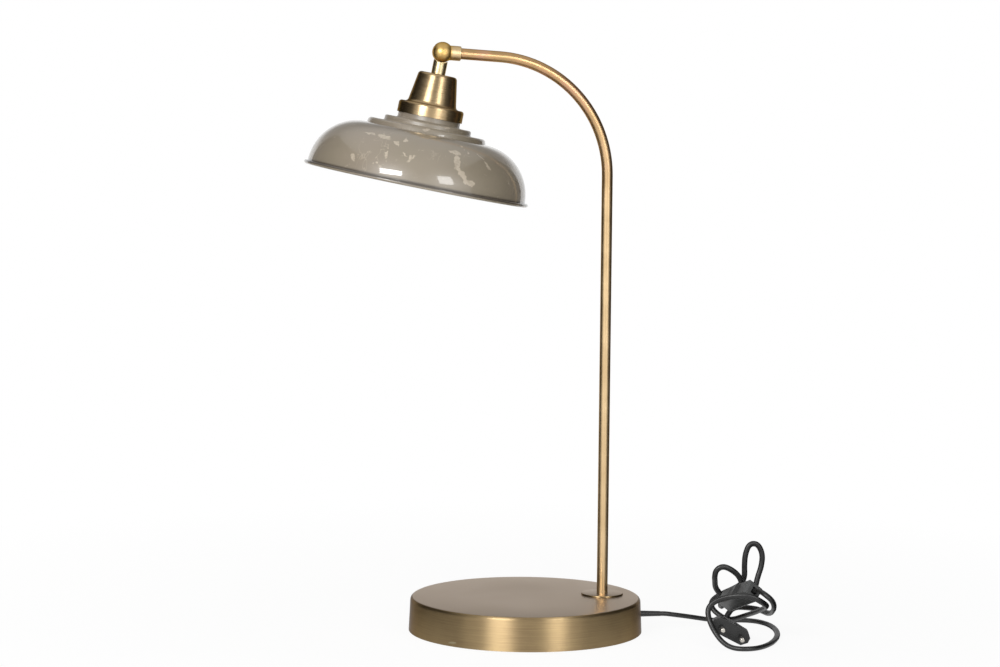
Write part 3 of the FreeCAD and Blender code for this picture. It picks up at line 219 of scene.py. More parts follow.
def makeLamps():
    # each pane is a soft lamp, with a glow at its place that only metal and gloss show
    aim = Vector(studio["lampAim"])
    for kind in ("Lamp", "Glow"):
        for name, (side, height, width, depth, power, glossPower) in panes.items():
            data = bpy.data.lights.new(name + kind, "AREA")
            data.shape = "RECTANGLE"
            data.size = width
            data.size_y = depth
            data.energy = power if kind == "Lamp" else glossPower
            item = bpy.data.objects.new(name + kind, data)
            bpy.context.collection.objects.link(item)
            item.location = fromCamera(side, studio["lampReach"], height)
            item.rotation_mode = "QUATERNION"
            item.rotation_quaternion = (aim - item.location).to_track_quat("-Z", "Y")
            item.visible_diffuse = kind == "Lamp"
    print(f"{len(panes)} softboxes")


# Cords: one control point for each point of the frame's route

cordSizes = {"lobeRadius": 2.0, "lobeAt": 0.5, "lobeSteps": 9, "stepsPerPoint": 10,
             "radius": 2.2, "tableGap": 0.1, "flatUnder": 10.0, "frontAbove": 30.0,
             "turnShare": 0.06, "sharp": 70}
cordFront = Vector((0.2, -1, 0))
reliefEnd = Vector((121.55, 0, 11.2))
table = cordSizes["radius"] + cordSizes["tableGap"]


def onSwitch(x):
    return (switchPlace @ metres(x, 0, 0)) * 1000


def onPlug(x):
    return (plugPlace @ metres(x, 0, 0)) * 1000


leadRoute = [reliefEnd, (126, 0, 11.2), (135, 0.2, 9.8), (148, 1.5, 7.6), (162, 3, 4.9),
             (176, 5, table)]
coilRoute = [
    # the loop on the table
    (194, 5.5, table), (208, 0, table), (215.5, -15, table), (216.5, -36, table),
    (212.5, -60, table), (204.5, -83, table), (193, -105, table), (179, -120.5, table),
    (166, -124.5, table), (155.5, -119, table), (148.5, -112.5, 6),
    # up the left side and over in front of the switch
    (143, -106, 14), (139.5, -101, 23), (138.5, -97, 32), (143.5, -97, 38.5),
    (152.5, -101.5, 43), (163, -107, 45.5), (174, -111, 45), (183.2, -111, 39.8),
    (190, -103.5, 34.8), (191.6, -90, 30.8),
    # round behind it
    (189.8, -72, 24.3), (186, -51, 17.3), (176, -33.8, 9.8), (167.5, -28, 14),
    (162.5, -22.5, 19.5), (164, -17.5, 25), (173, -17, 30.5), (182.5, -19.5, 35),
    (188.5, -25.5, 40),
    # the upright loop
    (190, -31, 48), (189.3, -31.8, 57.5), (189.8, -32, 68), (193.3, -32.4, 77.2),
    (200.9, -32.6, 77.2), (205.5, -32.8, 68), (204.5, -33, 57), (200.8, -34, 47.5),
    (198.6, -35, 38), (196.5, -35.5, 31.5), (190, -36.5, 31.5), (186, -39.5, 37.5),
    # the leaning loop and down into the switch
    (184, -43, 45), (180.5, -45, 51.5), (174, -46, 57), (166, -46, 60.5), (160.2, -44.5, 57),
    (159.3, -43.2, 50.7), (160.8, -39, 46.6), (163.3, -31, 38.9), (169.6, -28.5, 31.5),
    (171, -31.5, 25.5), (167, -38.5, 22.5), onSwitch(-34.7), onSwitch(-29.35), onSwitch(-21)]
tailRoute = [
    onSwitch(21), onSwitch(29), (184.5, -115.5, 47.3), (191, -117, 41.5), (194.8, -109, 33.3),
    (197.4, -86, 24.2), (196, -58, 23.5), (190.8, -41, 22.2), (179, -32.5, 21.5), onPlug(-59),
    onPlug(-51), onPlug(-35)]


def guideLine(name, route):
    # a NURBS spline whose control points are the route, read back as points along it
    curve = bpy.data.curves.new(name, "CURVE")
    curve.dimensions = "3D"
    spline = curve.splines.new("NURBS")
    spline.points.add(len(route) - 1)
    for point, spot in zip(spline.points, route):
        point.co = (*(Vector(spot) / 1000), 1)
    spline.order_u = 3
    spline.use_endpoint_u = True
    spline.resolution_u = cordSizes["stepsPerPoint"]
    guide = bpy.data.objects.new(name, curve)
    line = bpy.data.meshes.new_from_object(guide)
    spots = [vertex.co.copy() for vertex in line.vertices]
    bpy.data.objects.remove(guide)
    bpy.data.curves.remove(curve)
    bpy.data.meshes.remove(line)
    return spots


def cordSection():
    # two round cores side by side under one jacket, with a groove between them
    radius, offset, steps = (cordSizes[name] for name in ("lobeRadius", "lobeAt", "lobeSteps"))
    groove = math.acos(offset / radius)
    outline = []
    for side in (1, -1):
        for number in range(steps):
            angle = (math.pi - groove) * (2 * number / (steps - 1) - 1)
            outline.append((side * (offset + radius * math.cos(angle)),
                            side * radius * math.sin(angle)))
    return outline


def makeCord(name, route, nodes):
    size = cordSizes
    spots = guideLine(name + "Guide", route)
    ways = [(after - before).normalized()
            for before, after in zip(spots[:1] + spots[:-1], spots[1:] + spots[-1:])]
    # the flat side lies on the table and turns to the front where the cord stands up
    up = Vector((0, 0, 1))
    flat = up.copy()
    work = bmesh.new()
    rings = []
    for number, (spot, way) in enumerate(zip(spots, ways)):
        rise = (spot.z * 1000 - size["flatUnder"]) / (size["frontAbove"] - size["flatUnder"])
        rise = min(1, max(0, rise))
        wish = cordFront * rise + up * (1 - rise)
        wish -= way * wish.dot(way)
        flat -= way * flat.dot(way)
        if wish.dot(flat) < 0:
            wish = -wish
        flat = (flat.normalized() + wish * size["turnShare"]).normalized()
        side = way.cross(flat)
        rings.append([work.verts.new(spot + side * (x / 1000) + flat * (y / 1000))
                      for x, y in cordSection()])
    for before, after in zip(rings, rings[1:]):
        for first, last in zip(range(len(before)), [*range(1, len(before)), 0]):
            work.faces.new((before[first], before[last], after[last], after[first]))
    work.faces.new(rings[0])
    work.faces.new(rings[-1])
    cord = finishPiece(name, work, "base", "cordPvc", smooth=size["sharp"])
    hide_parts(*nodes)


reliefSizes = {"inner": 99.0, "width": 5.9, "thick": 5.0, "tipShare": 0.9, "lift": 0.9,
               "sides": 40}


def makeRelief():
    # tapered sleeve where the cord leaves the base, oval like the cord
    size = reliefSizes
    length = reliefEnd.x - size["inner"]
    lean = math.degrees(math.atan(size["lift"] / length))
    work = bmesh.new()
    bmesh.ops.create_cone(work, cap_ends=True, segments=size["sides"], radius1=0.5,
                          radius2=0.5 * size["tipShare"], depth=1)
    middle = (reliefEnd.x - length / 2, 0, reliefEnd.z + size["lift"] / 2)
    stretch = Matrix.Diagonal((*metres(size["thick"], size["width"], length), 1))
    relief = finishPiece("cordRelief", work, "base", "blackAbs",
                         placed(middle, [("Y", 90 + lean)]) @ stretch)
    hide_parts("cord_relief")
    print("relief")


# Pieces from bmesh

finishes = {}       # materials by name
welds = {"built": 0.002, "node": 0.004}     # corners nearer than this become one
roundings = {"large": 10.0, "more": 4}      # a larger cut gets this many times the segments


def finishPiece(name, work, body, finish, place=None, smooth=30, turned=False):
    bmesh.ops.remove_doubles(work, verts=work.verts, dist=welds["built"] / 1000)
    bmesh.ops.recalc_face_normals(work, faces=work.faces)
    if turned:
        wrapRound(work)
    if place is not None:
        bmesh.ops.transform(work, matrix=place, verts=work.verts)
    mesh = bpy.data.meshes.new(name)
    work.to_mesh(mesh)
    work.free()
    for polygon in mesh.polygons:
        polygon.use_smooth = True
    mesh.set_sharp_from_angle(angle=math.radians(smooth))
    piece = bpy.data.objects.new(name, mesh)
    bpy.context.collection.objects.link(piece)
    mesh.materials.append(finishes[finish])
    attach(piece, body)
    return piece


def wrapRound(work):
    # a lathe's unwrap: u goes round the axis and v along it and outward
    layer = work.loops.layers.uv.new("lathe")
    axis = welds["built"] / 2 / 1000        # a corner this near to the axis has no angle
    for face in work.faces:
        centre = face.calc_center_median()
        middle = math.atan2(centre.y, centre.x)
        for loop in face.loops:
            spot = loop.vert.co
            reach = math.hypot(spot.x, spot.y)
            angle = math.atan2(spot.y, spot.x) if reach > axis else middle
            while angle - middle > math.pi:
                angle -= 2 * math.pi
            while angle - middle < -math.pi:
                angle += 2 * math.pi
            loop[layer].uv = (angle / (2 * math.pi), reach - spot.z)


def drawLine(work, corners, steps):
    # (radius, height, cut) corners in mm; cut is how far a rounding reaches along both sides
    points = [work.verts.new(metres(radius, 0, height)) for radius, height, _ in corners]
    for first, last in zip(points, points[1:]):
        work.edges.new((first, last))
    for point, (_, _, cut) in zip(points, corners):
        if cut:
            count = steps * roundings["more"] if cut > roundings["large"] else steps
            bmesh.ops.bevel(work, geom=[point], offset=cut / 1000, offset_type="OFFSET",
                            affect="VERTICES", segments=count, profile=0.5, material=-1)


def spin(work, steps):
    bmesh.ops.spin(work, geom=work.verts[:] + work.edges[:], cent=(0, 0, 0), axis=(0, 0, 1),
                   angle=2 * math.pi, steps=steps, use_merge=True)


def spunShell(corners, wall, steps, lineSteps):
    # a line spun round the axis and given a wall on its inner side
    work = bmesh.new()
    drawLine(work, corners, lineSteps)
    spin(work, steps)
    bmesh.ops.remove_doubles(work, verts=work.verts, dist=welds["built"] / 1000)
    bmesh.ops.recalc_face_normals(work, faces=work.faces)
    if sum(face.normal.z * face.calc_area() for face in work.faces) < 0:
        bmesh.ops.reverse_faces(work, faces=work.faces)
    bmesh.ops.solidify(work, geom=work.faces[:], thickness=wall / 1000)
    return work


def extrudeRing(work, edges, way):
    new = bmesh.ops.extrude_edge_only(work, edges=edges)["geom"]
    bmesh.ops.translate(work, verts=[item for item in new if isinstance(item, bmesh.types.BMVert)],
                        vec=way)
    return [item for item in new if isinstance(item, bmesh.types.BMEdge)]


def addWall(piece, thick):
    # a wall of sheet on the inner side of an open shell
    wall = piece.modifiers.new("wall", "SOLIDIFY")
    wall.thickness = thick / 1000
    wall.offset = -1
    return wall


# Finishes. Patterns are sized in mm, and a grain is its size, detail and grit

def newTree(name):
    material = bpy.data.materials.new(name)
    material.use_nodes = True
    material.node_tree.nodes.clear()
    finishes[name] = material
    return material.node_tree


def addSurface(tree, look):
    shader = addNode(tree, "BsdfPrincipled", look)
    addNode(tree, "OutputMaterial", {"Surface": shader})


def objectPlace(tree, place=None):
    # Object coordinates, turned into a piece's own frame when it has one
    spot = addNode(tree, "TexCoord").outputs["Object"]
    if place is None:
        return spot
    back = place.inverted()
    return addNode(tree, "Mapping", {"Vector": spot, "Location": back.to_translation(),
                                     "Rotation": back.to_euler()})


def brushedLines(tree, spacing, place=None, breaks=2.2):
    # lines that run round a turned piece, coarser than real brushing so that they show; spacing
    # is in mm between them, and breaks is how often they change on the way round
    here = addNode(tree, "SeparateXYZ", {0: objectPlace(tree, place)})
    flat = addNode(tree, "CombineXYZ", {"X": here.outputs["X"], "Y": here.outputs["Y"]})
    way = addNode(tree, "VectorMath", {0: flat}, operation="NORMALIZE")
    reach = addNode(tree, "VectorMath", {0: flat}, operation="LENGTH")
    along = addNode(tree, "Math", {0: reach, 1: here.outputs["Z"]}, operation="SUBTRACT")
    lines = addNode(tree, "Math", {0: along, 1: 1000 / spacing}, operation="MULTIPLY")
    lines = addNode(tree, "CombineXYZ", {"Z": lines})
    spot = addNode(tree, "VectorMath", {0: way, 1: (breaks, breaks, 0), 2: lines},
                   operation="MULTIPLY_ADD")
    return addNode(tree, "TexNoise", {"Vector": spot, "Scale": 1.0, "Detail": 3, "Roughness": 0.6})


# the grain in mm of a stroke's ragged edge, and the cover between which it fades in
strokeLooks = {"grain": 4.545, "edge": (0.24, 0.42)}


def strokeMask(tree, spot, strokes, ragged):
    # soft ovals along the listed strokes, whose edges stray by the ragged mm
    stray = addNode(tree, "TexNoise", {"Vector": spot, "Scale": 1000 / strokeLooks["grain"],
                                       "Detail": 4})
    stray = addNode(tree, "VectorMath", {0: stray.outputs["Color"], 1: (0.5, 0.5, 0.5)},
                    operation="SUBTRACT")
    stray = addNode(tree, "VectorMath", {0: stray, 1: metres(ragged, ragged, ragged)},
                    operation="MULTIPLY")
    spot = addNode(tree, "VectorMath", {0: spot, 1: stray})
    cover = 0.0
    for start, end, width in strokes:
        along = metres(*end) - metres(*start)
        size = (along.length / 2 + width / 1000, width / 1000, width / 1000)
        oval = addNode(tree, "Mapping", {
            "Vector": spot, "Location": metres(*start) + along / 2, "Scale": size,
            "Rotation": along.to_track_quat("X", "Z").to_euler()}, vector_type="TEXTURE")
        soft = addNode(tree, "TexGradient", {"Vector": oval}, gradient_type="SPHERICAL")
        cover = addNode(tree, "Math", {0: soft.outputs["Fac"], 1: cover}, operation="MAXIMUM")
    return addNode(tree, "ValToRGB", {"Fac": cover}, stops=zip(strokeLooks["edge"], (0.0, 1.0)))


# where the base's lacquer is rubbed through, near its foot: start, end and reach in mm
baseScuffs = [((-81, -61, 3.2), (-74, -70, 4.4), 1.1), ((-84, -57, 2), (-80, -62, 2.5), 0.9),
              ((95, -36, 3), (97, -30, 8), 1.1), ((90, -47, 1.5), (94, -40, 2.5), 0.9),
              ((-92, -42, 29), (-90, -46, 29.6), 0.9)]

# pale smears and scratches on the enamel, the same way in the head's frame
shadeSmears = [
    ((-52, -60, -79), (-41, -68, -81), 4.0), ((-62, -49, -80), (-52, -60, -80), 1.8),
    ((-43.8, -73.4, -85), (-43, -83, -102), 1.5), ((-38, -73, -82), (-34, -75, -85), 2.4),
    ((-21.3, -85, -89.5), (-27.1, -87.7, -97.2), 2.2), ((-31.7, -81.5, -88), (-27, -86, -94), 1.2),
    ((-70, -60, -99), (-67, -66, -105), 2.6), ((-49.5, -78.7, -100.4), (-53.6, -77.5, -105.5), 1.1),
    ((14, -79.2, -81.2), (14.6, -89.6, -96), 3.8), ((13.6, -88, -91), (26.5, -90.6, -105.5), 3.4),
    ((22, -91, -104), (31.9, -88.3, -104), 3.6), ((8, -80, -82), (18, -79, -80), 3.4),
    ((33, -69.7, -78.6), (40.7, -71.9, -83.4), 1.3),
    ((40.7, -71.9, -83.4), (46.1, -75.5, -90.7), 2.0),
    ((18.2, -66.5, -73.9), (25.7, -78, -82.8), 1.5),
    ((63.1, -60.6, -89.2), (68, -65.7, -107.3), 1.2),
    ((-74.1, -46.9, -89.6), (-66, -49, -84), 1.2), ((-29.3, -72.3, -78), (-29, -73, -80), 2.6),
    ((-14, -48, -68), (-6, -49.5, -67), 2.2), ((8, -37, -62.5), (13, -35, -62), 1.5)]

# spun brass, brushed round, which draws its highlights out upright: on the base browned under
# lacquer and on the cap clearer, with browner sides
brushedBrass = {
    "brushedAgedBrass": {"spacing": 0.9, "grain": (41.7, 6, 0.6), "tones": ("#968061", "#a9926d"),
                         "lineShare": 0.25, "lineTones": ("#7d6a4c", "#c9b182"),
                         "rough": (0.34, 0.43), "relief": (0.25, 0.08), "brush": 0.93,
                         "tint": "#a6a3a6", "place": None, "scuffs": baseScuffs},
    "brushedBrassCap": {"spacing": 0.7, "grain": (25, 4, 0.5), "tones": ("#a68d69", "#bba27d"),
                        "lineShare": 0.2, "lineTones": ("#9c8158", "#ecd9b2"),
                        "rough": (0.26, 0.36), "relief": (0.2, 0.06), "brush": 0.7,
                        "tint": "#8f8478", "place": headPlace, "scuffs": ()}}
scuffLooks = {"ragged": 2.5, "tone": "#b9ab8a"}


def makeBrushedBrass(name):
    brass = brushedBrass[name]
    size, detail, grit = brass["grain"]
    tree = newTree(name)
    spot = objectPlace(tree, brass["place"])
    lines = brushedLines(tree, brass["spacing"], brass["place"])
    clouds = addNode(tree, "TexNoise", {"Vector": spot, "Scale": 1000 / size, "Detail": detail,
                                        "Roughness": grit})
    tone = addNode(tree, "ValToRGB", {"Fac": clouds}, stops=zip(toneSpan, brass["tones"]))
    lined = addNode(tree, "ValToRGB", {"Fac": lines}, stops=zip(toneSpan, brass["lineTones"]))
    tone = addNode(tree, "Mix", {0: brass["lineShare"], 6: tone, 7: lined}, data_type="RGBA")
    if brass["scuffs"]:
        scuffs = strokeMask(tree, spot, brass["scuffs"], scuffLooks["ragged"])
        tone = addNode(tree, "Mix", {0: scuffs, 6: tone, 7: linear(scuffLooks["tone"])},
                       data_type="RGBA")
    rough = addNode(tree, "ValToRGB", {"Fac": lines}, stops=zip(toneSpan, brass["rough"]))
    strength, depth = brass["relief"]
    relief = addNode(tree, "Bump", {"Height": lines, "Strength": strength,
                                    "Distance": depth / 1000})
    way = addNode(tree, "Tangent", direction_type="UV_MAP", uv_map="lathe")
    addSurface(tree, {"Metallic": 1.0, "Base Color": tone, "Roughness": rough, "Normal": relief,
                      "Anisotropic": brass["brush"], "Anisotropic Rotation": 0.25,
                      "Tangent": way, "Specular Tint": linear(brass["tint"])})


# grains in mm, streaks across and along the tube, and the heights between which it turns pink
tubeBrass = {"cloud": 29.41, "patch": 13.33, "streak": (1.11, 1.11, 71.4), "plainTo": 360.0,
             "pinkFrom": 480.0}


def makeTubeBrass():
    # drawn brass tube, satin: lengthwise streaks where it is straight, polished smooth, duller
    # and a little pink where it was bent
    tree = newTree("satinBrassTube")
    spot = objectPlace(tree)
    clouds = addNode(tree, "TexNoise", {"Vector": spot, "Scale": 1000 / tubeBrass["cloud"],
                                        "Detail": 6, "Roughness": 0.6})
    straight = addNode(tree, "ValToRGB", {"Fac": clouds},
                       stops=zip(toneSpan, ("#c9ac80", "#dabe94")))
    patches = addNode(tree, "TexNoise", {"Vector": spot, "Scale": 1000 / tubeBrass["patch"],
                                         "Detail": 4})
    pink = addNode(tree, "ValToRGB", {"Fac": patches},
                   stops=((0.36, "#bd9c6f"), (0.5, "#c79f74"), (0.64, "#cca07e")))
    here = addNode(tree, "SeparateXYZ", {0: spot})
    bent = addNode(tree, "MapRange", {"Value": here.outputs["Z"],
                                      "From Min": tubeBrass["plainTo"] / 1000,
                                      "From Max": tubeBrass["pinkFrom"] / 1000})
    tone = addNode(tree, "Mix", {0: bent, 6: straight, 7: pink}, data_type="RGBA")
    rough = addNode(tree, "ValToRGB", {"Fac": clouds}, stops=zip(toneSpan, (0.30, 0.40)))
    drawn = addNode(tree, "Mapping", {"Vector": spot,
                                      "Scale": [1000 / step for step in tubeBrass["streak"]]})
    streaks = addNode(tree, "TexNoise", {"Vector": drawn, "Scale": 1.0, "Detail": 2})
    plain = addNode(tree, "MapRange", {"Value": bent, "To Min": 1.0, "To Max": 0.0})
    streaks = addNode(tree, "Math", {0: streaks, 1: plain}, operation="MULTIPLY")
    relief = addNode(tree, "Bump", {"Height": streaks, "Strength": 0.06, "Distance": 0.05 / 1000})
    addSurface(tree, {"Metallic": 1.0, "Base Color": tone, "Roughness": rough, "Normal": relief,
                      "Specular Tint": linear("#a68a5e")})


# the dents' size, and how far from its centre the ball reaches and the collar's brass starts
castBrass = {"dent": 6.67, "ballTo": 9.3, "collarFrom": 10.5}


def makeCastBrass():
    # cast brass, tumbled satin, with soft dents; the ball is yellower than its collar
    tree = newTree("satinCastBrass")
    spot = objectPlace(tree, headPlace)
    clouds = addNode(tree, "TexNoise", {"Vector": spot, "Scale": 1000 / castBrass["dent"],
                                        "Detail": 4})
    away = addNode(tree, "VectorMath", {0: spot}, operation="LENGTH")
    share = addNode(tree, "MapRange", {"Value": away, "From Min": castBrass["ballTo"] / 1000,
                                       "From Max": castBrass["collarFrom"] / 1000})
    ball = addNode(tree, "ValToRGB", {"Fac": clouds}, stops=zip(toneSpan, ("#c9a564", "#d9b878")))
    collar = addNode(tree, "ValToRGB", {"Fac": clouds}, stops=zip(toneSpan, ("#cdb080", "#dcc298")))
    tone = addNode(tree, "Mix", {0: share, 6: ball, 7: collar}, data_type="RGBA")
    rough = addNode(tree, "ValToRGB", {"Fac": clouds}, stops=zip(toneSpan, (0.36, 0.46)))
    relief = addNode(tree, "Bump", {"Height": clouds, "Strength": 0.3, "Distance": 0.4 / 1000})
    addSurface(tree, {"Metallic": 1.0, "Base Color": tone, "Roughness": rough, "Normal": relief,
                      "Specular Tint": linear("#c4a868")})


# grains in mm, and how far above the shade's foot the painted shade in the crease above the bead
# runs, and where the bead starts
enamelLooks = {"cloud": 71.4, "stain": 111, "wear": 3.846, "fleck": 11.11, "scratch": 12.5,
               "patch": 41.67, "ragged": 7.0, "creaseShadeFrom": 2.8, "creaseShadeTo": 1.0,
               "beadFrom": -0.4, "beadTo": -1.0}


def makeEnamel(name, gloss, blur):
    # stove enamel over spun steel, grey-taupe with pale smears and scratches
    size = enamelLooks
    tree = newTree(name)
    spot = objectPlace(tree, headPlace)
    clouds = addNode(tree, "TexNoise", {"Vector": spot, "Scale": 1000 / size["cloud"], "Detail": 6,
                                        "Roughness": 0.6})
    tone = addNode(tree, "ValToRGB", {"Fac": clouds}, stops=((0.32, "#817767"), (0.68, "#8b8071")))
    stains = addNode(tree, "TexNoise", {"Vector": spot, "Scale": 1000 / size["stain"], "Detail": 3})
    stains = addNode(tree, "ValToRGB", {"Fac": stains},
                     stops=((0.35, "#857d69"), (0.65, "#887c70")))
    tone = addNode(tree, "Mix", {0: 0.35, 6: tone, 7: stains}, data_type="RGBA")

    smears = strokeMask(tree, spot, shadeSmears, size["ragged"])
    worn = addNode(tree, "TexNoise", {"Vector": spot, "Scale": 1000 / size["wear"], "Detail": 5,
                                      "Roughness": 0.7})
    worn = addNode(tree, "ValToRGB", {"Fac": worn}, stops=((0.36, 0.5), (0.52, 1.0)))
    smears = addNode(tree, "Math", {0: smears, 1: worn}, operation="MULTIPLY")
    tone = addNode(tree, "Mix", {0: smears, 6: tone, 7: linear("#b0a492")}, data_type="RGBA")

    # flecks, and thin scratches in patches
    tall = addNode(tree, "Mapping", {"Vector": spot, "Scale": (1, 1, 1.6)})
    flecks = addNode(tree, "TexNoise", {"Vector": tall, "Scale": 1000 / size["fleck"], "Detail": 6,
                                        "Roughness": 0.75})
    flecks = addNode(tree, "ValToRGB", {"Fac": flecks}, stops=((0.62, 0.0), (0.68, 0.6)))
    tone = addNode(tree, "Mix", {0: flecks, 6: tone, 7: linear("#a99e8c")}, data_type="RGBA")
    low = addNode(tree, "Mapping", {"Vector": spot, "Scale": (1, 1, 0.35)})
    lines = addNode(tree, "TexNoise", {"Vector": low, "Scale": 1000 / size["scratch"], "Detail": 3})
    lines = addNode(tree, "ValToRGB", {"Fac": lines},
                    stops=((0.490, 0.0), (0.498, 0.6), (0.502, 0.6), (0.510, 0.0)))
    patches = addNode(tree, "TexNoise", {"Vector": spot, "Scale": 1000 / size["patch"],
                                         "Detail": 3})
    patches = addNode(tree, "ValToRGB", {"Fac": patches}, stops=((0.50, 0.0), (0.58, 1.0)))
    lines = addNode(tree, "Math", {0: lines, 1: patches}, operation="MULTIPLY")
    tone = addNode(tree, "Mix", {0: lines, 6: tone, 7: linear("#a99e8c")}, data_type="RGBA")

    # painted shade: darker in the crease just above the rim's bead
    drop = addNode(tree, "SeparateXYZ", {0: spot}).outputs["Z"]
    foot = shadeSizes["foot"]
    edge = addNode(tree, "MapRange", {"Value": drop, "From Min": (foot + size["creaseShadeFrom"]) / 1000,
                                      "From Max": (foot + size["creaseShadeTo"]) / 1000})
    bead = addNode(tree, "MapRange", {"Value": drop, "From Min": (foot + size["beadFrom"]) / 1000,
                                      "From Max": (foot + size["beadTo"]) / 1000})
    edge = addNode(tree, "Math", {0: edge, 1: bead}, operation="SUBTRACT", use_clamp=True)
    tone = addNode(tree, "Mix", {0: edge, 6: tone, 7: linear("#4c443b")}, data_type="RGBA")
    relief = addNode(tree, "Bump", {"Height": clouds, "Strength": 0.05, "Distance": 0.4 / 1000})
    addSurface(tree, {"Base Color": tone, "Roughness": 0.4, "Normal": relief,
                      "Coat Weight": gloss, "Coat Roughness": blur})


def makePlain(name, grain, tones, rough=None, relief=None, place=None, stretch=None, fine=None,
              **look):
    # one grain gives the tones and the roughness, and the relief too unless a fine one does;
    # relief is a strength and a depth in mm, and stretch is how fast each axis runs
    tree = newTree(name)
    size, detail, grit = grain
    spot = objectPlace(tree, place)
    if stretch:
        spot = addNode(tree, "Mapping", {"Vector": spot, "Scale": stretch})
    clouds = addNode(tree, "TexNoise", {"Vector": spot, "Scale": 1000 / size, "Detail": detail,
                                        "Roughness": grit})
    surface = {socket.replace("_", " "): value for socket, value in look.items()}
    surface["Base Color"] = addNode(tree, "ValToRGB", {"Fac": clouds}, stops=zip(toneSpan, tones))
    if rough:
        surface["Roughness"] = addNode(tree, "ValToRGB", {"Fac": clouds},
                                       stops=zip(toneSpan, rough))
    if relief:
        height = clouds
        if fine:
            height = addNode(tree, "TexNoise", {"Vector": spot, "Scale": 1000 / fine[0],
                                                "Detail": fine[1]})
        strength, depth = relief
        surface["Normal"] = addNode(tree, "Bump", {"Height": height, "Strength": strength,
                                                   "Distance": depth / 1000})
    addSurface(tree, surface)


def makeFinishes():
    for name in brushedBrass:
        makeBrushedBrass(name)
    makeTubeBrass()
    makeCastBrass()
    # glossy on the dome, duller on the dusty steps
    makeEnamel("greyEnamel", 1.0, 0.03)
    makeEnamel("dustyEnamel", 0.4, 0.3)

    # the base's brass on the flat tops, dull and unbrushed; its pale grey-brown tone and near-white
    # tint are a painted reflection of the pale sky that the tops show at a grazing angle
    makePlain("dullBrassPaintedSky", (50, 6, 0.62), ("#aa9c8b", "#b6a897"), (0.30, 0.38), (0.08, 0.06),
              fine=(1.43, 3), Metallic=1.0, Specular_Tint=linear("#fff6ee"))
    # turned brass of the neck, bright and pale
    makePlain("turnedBrass", (8.33, 3, 0.5), ("#cdb88c", "#dccaa2"), (0.24, 0.32), (0.15, 0.3),
              headPlace, Metallic=1.0, Specular_Tint=linear("#c9ab78"))
    # pressed brass of the contacts, bright
    makePlain("contactBrass", (6.25, 3, 0.5), ("#c9a552", "#dcbc6c"), (0.2, 0.32),
              place=headPlace, Metallic=1.0)
    # white enamel inside the shade, a little duller than outside
    makePlain("whiteEnamel", (16.7, 4, 0.5), ("#e4e0d6", "#efece4"), None, (0.08, 0.3), headPlace,
              Roughness=0.42, Coat_Weight=0.6, Coat_Roughness=0.12)
    # soft PVC jacket: black with a dull gloss
    makePlain("cordPvc", (4.17, 4, 0.5), ("#141414", "#1e1e1e"), (0.32, 0.48), (0.1, 0.1))
    # moulded ABS, finely eroded: the plug's black, and the switch's grey-black, whose pale grey is
    # a painted sheen of the light on its top face
    for name, tones in (("blackAbs", ("#161616", "#1e1e1e")), ("greyAbsPaintedSheen", ("#3d3e3e", "#494a4a"))):
        makePlain(name, (11.1, 4, 0.5), tones, (0.38, 0.5), (0.12, 0.1), fine=(1.11, 2))
    # nickel plate on the plug's pins, drawn lengthwise
    makePlain("nickelPlate", (0.667, 4, 0.5), ("#b8b4ac", "#d2cec6"), (0.18, 0.3),
              place=plugPlace, stretch=(0.04, 1, 1), Metallic=1.0)
    # sand-cast iron, painted grey
    makePlain("castIron", (2.38, 5, 0.7), ("#3b3b3a", "#4a4a48"), (0.55, 0.75), (0.4, 0.4),
              Metallic=0.2)
    # zinc plated steel, pale and slightly blue
    makePlain("zincSteel", (3.85, 4, 0.5), ("#a9adb0", "#c0c4c6"), (0.28, 0.42), (0.08, 0.1),
              Metallic=1.0)
    # wool felt under the base
    makePlain("blackFelt", (0.714, 3, 0.5), ("#1c1b1a", "#34322f"), None, (0.6, 0.4),
              Roughness=0.95, Sheen_Weight=0.4, Sheen_Roughness=0.6)
    # pressed phenolic of the lampholder, black and glossy from the mould
    makePlain("blackBakelite", (9.09, 5, 0.5), ("#17130f", "#241d17"), (0.25, 0.36),
              place=headPlace, Coat_Weight=0.3, Coat_Roughness=0.15)
    # glazed steatite of the lampholder's floor
    makePlain("whiteSteatite", (3.33, 4, 0.5), ("#ddd6c8", "#ece7dc"), (0.35, 0.5),
              place=headPlace, Coat_Weight=0.4, Coat_Roughness=0.2)
    # vulcanised fibre of the friction washers
    makePlain("redFibre", (1.11, 4, 0.5), ("#6b2d22", "#85392b"), None, (0.2, 0.1), Roughness=0.7)
    # nylon of the cord clamp
    makePlain("whiteNylon", (5, 3, 0.5), ("#d4d0c4", "#e2dfd5"), None, (0.1, 0.1), Roughness=0.45,
              Subsurface_Weight=0.1)
    print(f"{len(finishes)} finishes")


# Base

baseSizes = {"radius": 102.0, "topRadius": 100.6, "height": 30.0, "edge": 2.9, "wall": 1.2,
             "lift": 0.6, "steps": 256, "edgeSteps": 8, "sharp": 40}
flatRise = 0.9      # a face whose normal rises more than this is one of the flat tops, which carry the painted sky reflection


# the upward faces take the dull brass, whose pale tone is a painted sky reflection
def dullTopsPaintedSky(piece):
    piece.data.materials.append(finishes["dullBrassPaintedSky"])
    for polygon in piece.data.polygons:
        if polygon.normal.z > flatRise:
            polygon.material_index = 1


def makeBase():
    size = baseSizes
    work = spunShell([(0, size["height"], 0), (size["topRadius"] / 2, size["height"], 0),
                      (size["topRadius"], size["height"], size["edge"]),
                      (size["radius"], size["lift"], 0)],
                     size["wall"], size["steps"], size["edgeSteps"])
    shell = finishPiece("baseShell", work, "base", "brushedAgedBrass", smooth=size["sharp"],
                        turned=True)
    dullTopsPaintedSky(shell)
    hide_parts("base_shell")
    print("base")


# Post, arm and flange

tubeSizes = {"radius": 4.75, "foot": 21.6, "wall": 0.9, "socket": 9.5, "sides": 48,
             "bendSteps": 60, "rim": 1.6, "sharp": 60}
flangeSizes = {"radius": 18.3, "thick": 1.4, "edge": 0.6, "footEdge": 0.2, "hole": 4.85,
               "steps": 96, "edgeSteps": 4}


